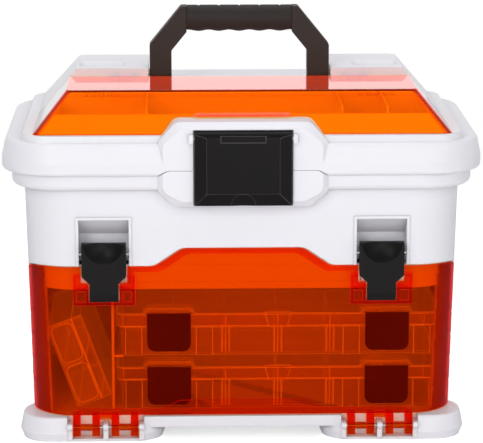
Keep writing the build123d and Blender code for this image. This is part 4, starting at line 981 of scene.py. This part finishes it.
@dataclass(frozen=True)
class SoftLamp:
    """Soft round lamp that points at the case.

    Attributes:
        name: lamp name.
        place: its place.
        size: its diameter.
        power: its power in watts.
    """

    name: str
    place: tuple[float, float, float]
    size: float
    power: float

    def hang(self, target: Vector) -> None:
        """Adds the lamp to the scene.

        Args:
            target: the point that it shines at.
        """
        lamp = bpy.data.lights.new(self.name, "AREA")
        lamp.shape = "DISK"
        lamp.size = self.size
        lamp.energy = self.power
        holder = bpy.data.objects.new(self.name, lamp)
        holder.location = self.place
        holder.rotation_euler = (target - Vector(self.place)).to_track_quat("-Z", "Y").to_euler()
        bpy.context.scene.collection.objects.link(holder)


@dataclass
class Studio:
    """Floor, lights, world and camera.

    Attributes:
        palette: finishes.
        eye: camera place.
        tilt: degrees that the camera looks down.
        yaw: degrees that it turns to its left.
        lens: focal length in millimetres.
        sensor: width of the camera's sensor in millimetres.
        clip: nearest and furthest distance that the camera sees.
        clear_walls: walls of clear plastic that a ray passes.
        floor_size: side of the floor.
        floor_end: how far it reaches behind the case.
        fill: strength of the world's light on the case.
        fill_colour: colour of that light.
        front_glow: strength of the room in front of the case, as polished surfaces mirror it.
        horizon: half width of the change from that room to the white backdrop.
        target: point that the lamps shine at.
        lamps: the lamps.
    """

    palette: Palette
    eye: tuple[float, float, float] = (-0.070, -2.6905, 0.8106)
    tilt: float = 12.5
    yaw: float = -1.54
    lens: float = 180.8
    sensor: float = 36.0
    clip: tuple[float, float] = (0.05, 30.0)
    clear_walls: int = 40
    floor_size: float = 6.0
    floor_end: float = 1.2
    fill: float = 0.42
    fill_colour: Colour = (0.98, 0.975, 1.0)
    front_glow: float = 0.05
    horizon: float = 0.35
    target: tuple[float, float, float] = (0, 0, 0.2)
    lamps: tuple[SoftLamp, ...] = (
        SoftLamp("key_softbox", (-1.2, -2.4, 1.5), 1.3, 20.8),
        SoftLamp("fill_softbox", (1.5, -2.0, 1.0), 1.6, 8.0),
        SoftLamp("low_softbox", (0.2, -2.6, 0.42), 1.1, 12.6),
        SoftLamp("top_softbox", (0.0, 0.2, 2.4), 2.0, 17.0),
    )

    def build(self) -> None:
        """Builds the stage, the lights and the camera, and lets rays pass every wall of door and boxes."""
        bpy.context.scene.cycles.transparent_max_bounces = self.clear_walls
        self.lay_floor()
        self.make_world()
        for lamp in self.lamps:
            lamp.hang(Vector(self.target))
        self.aim()

    def lay_floor(self) -> None:
        """Lays the floor under the feet."""
        deselect()
        middle = (0, self.floor_end - self.floor_size / 2, 0)
        bpy.ops.mesh.primitive_plane_add(size=self.floor_size, location=middle)
        floor = bpy.context.object
        floor.name = "studio_floor"
        floor.data.materials.append(self.palette.floor)

    def make_world(self) -> None:
        """Makes a world that is white to the camera and plain daylight to the case."""
        world = bpy.data.worlds.new("studio_world")
        bpy.context.scene.world = world
        book = NodeBook(world, "OutputWorld")
        path = book.add("LightPath")
        seen = book.add("Background", Color=(*WHITE, 1), Strength=1.0)
        lit = book.add("Background", Color=(*self.fill_colour, 1), Strength=self.fill)
        mirrored = book.add("Background", Color=(*WHITE, 1))
        book.join(self.backdrop_share(book), mirrored.inputs["Strength"])
        light = book.mix_shaders(path.outputs["Is Glossy Ray"], lit, mirrored)
        straight = book.work(Operation.LARGER, path.outputs["Is Camera Ray"],
                             path.outputs["Is Transmission Ray"])
        book.finish(book.mix_shaders(straight, light, seen))

    def backdrop_share(self, book: NodeBook) -> Socket:
        """Light that polished surfaces mirror: a white backdrop behind the case, a dim room in front.

        Args:
            book: the world's nodes.

        Returns:
            The socket of that light's strength.
        """
        where = book.add("TexCoord")
        parts = book.add("SeparateXYZ")
        book.join(where.outputs["Generated"], parts.inputs[0])
        return book.spread(parts.outputs["Y"], self.front_glow, 1.0, -self.horizon, self.horizon)

    def aim(self) -> None:
        """Sets the camera at the photograph's angle."""
        lens = bpy.data.cameras.new("photo_camera")
        lens.lens = self.lens
        lens.sensor_width = self.sensor
        lens.clip_start, lens.clip_end = self.clip
        camera = bpy.data.objects.new("photo_camera", lens)
        camera.location = self.eye
        camera.rotation_euler = (math.radians(90 - self.tilt), 0, math.radians(self.yaw))
        bpy.context.scene.collection.objects.link(camera)
        bpy.context.scene.camera = camera


def main() -> None:
    """Builds the case and its studio in order and reports each piece."""
    logging.basicConfig(level=logging.INFO, format="%(name)s: %(message)s")
    bpy.context.scene.view_settings.view_transform = "Standard"
    palette = Palette()
    parts = [LowerCase(palette), Lid(palette), CarryingHandle(palette), Latches(palette), FrontDoor(palette),
             UtilityBox(palette, Level.LOWER), UtilityBox(palette, Level.UPPER), SmallCase(palette)]
    for part in parts:
        for piece in part.build():
            LOG.info("%s: %s", type(part).__name__, piece)
    Studio(palette).build()
    LOG.info("the studio is built")


if __name__ == "__main__":
    main()
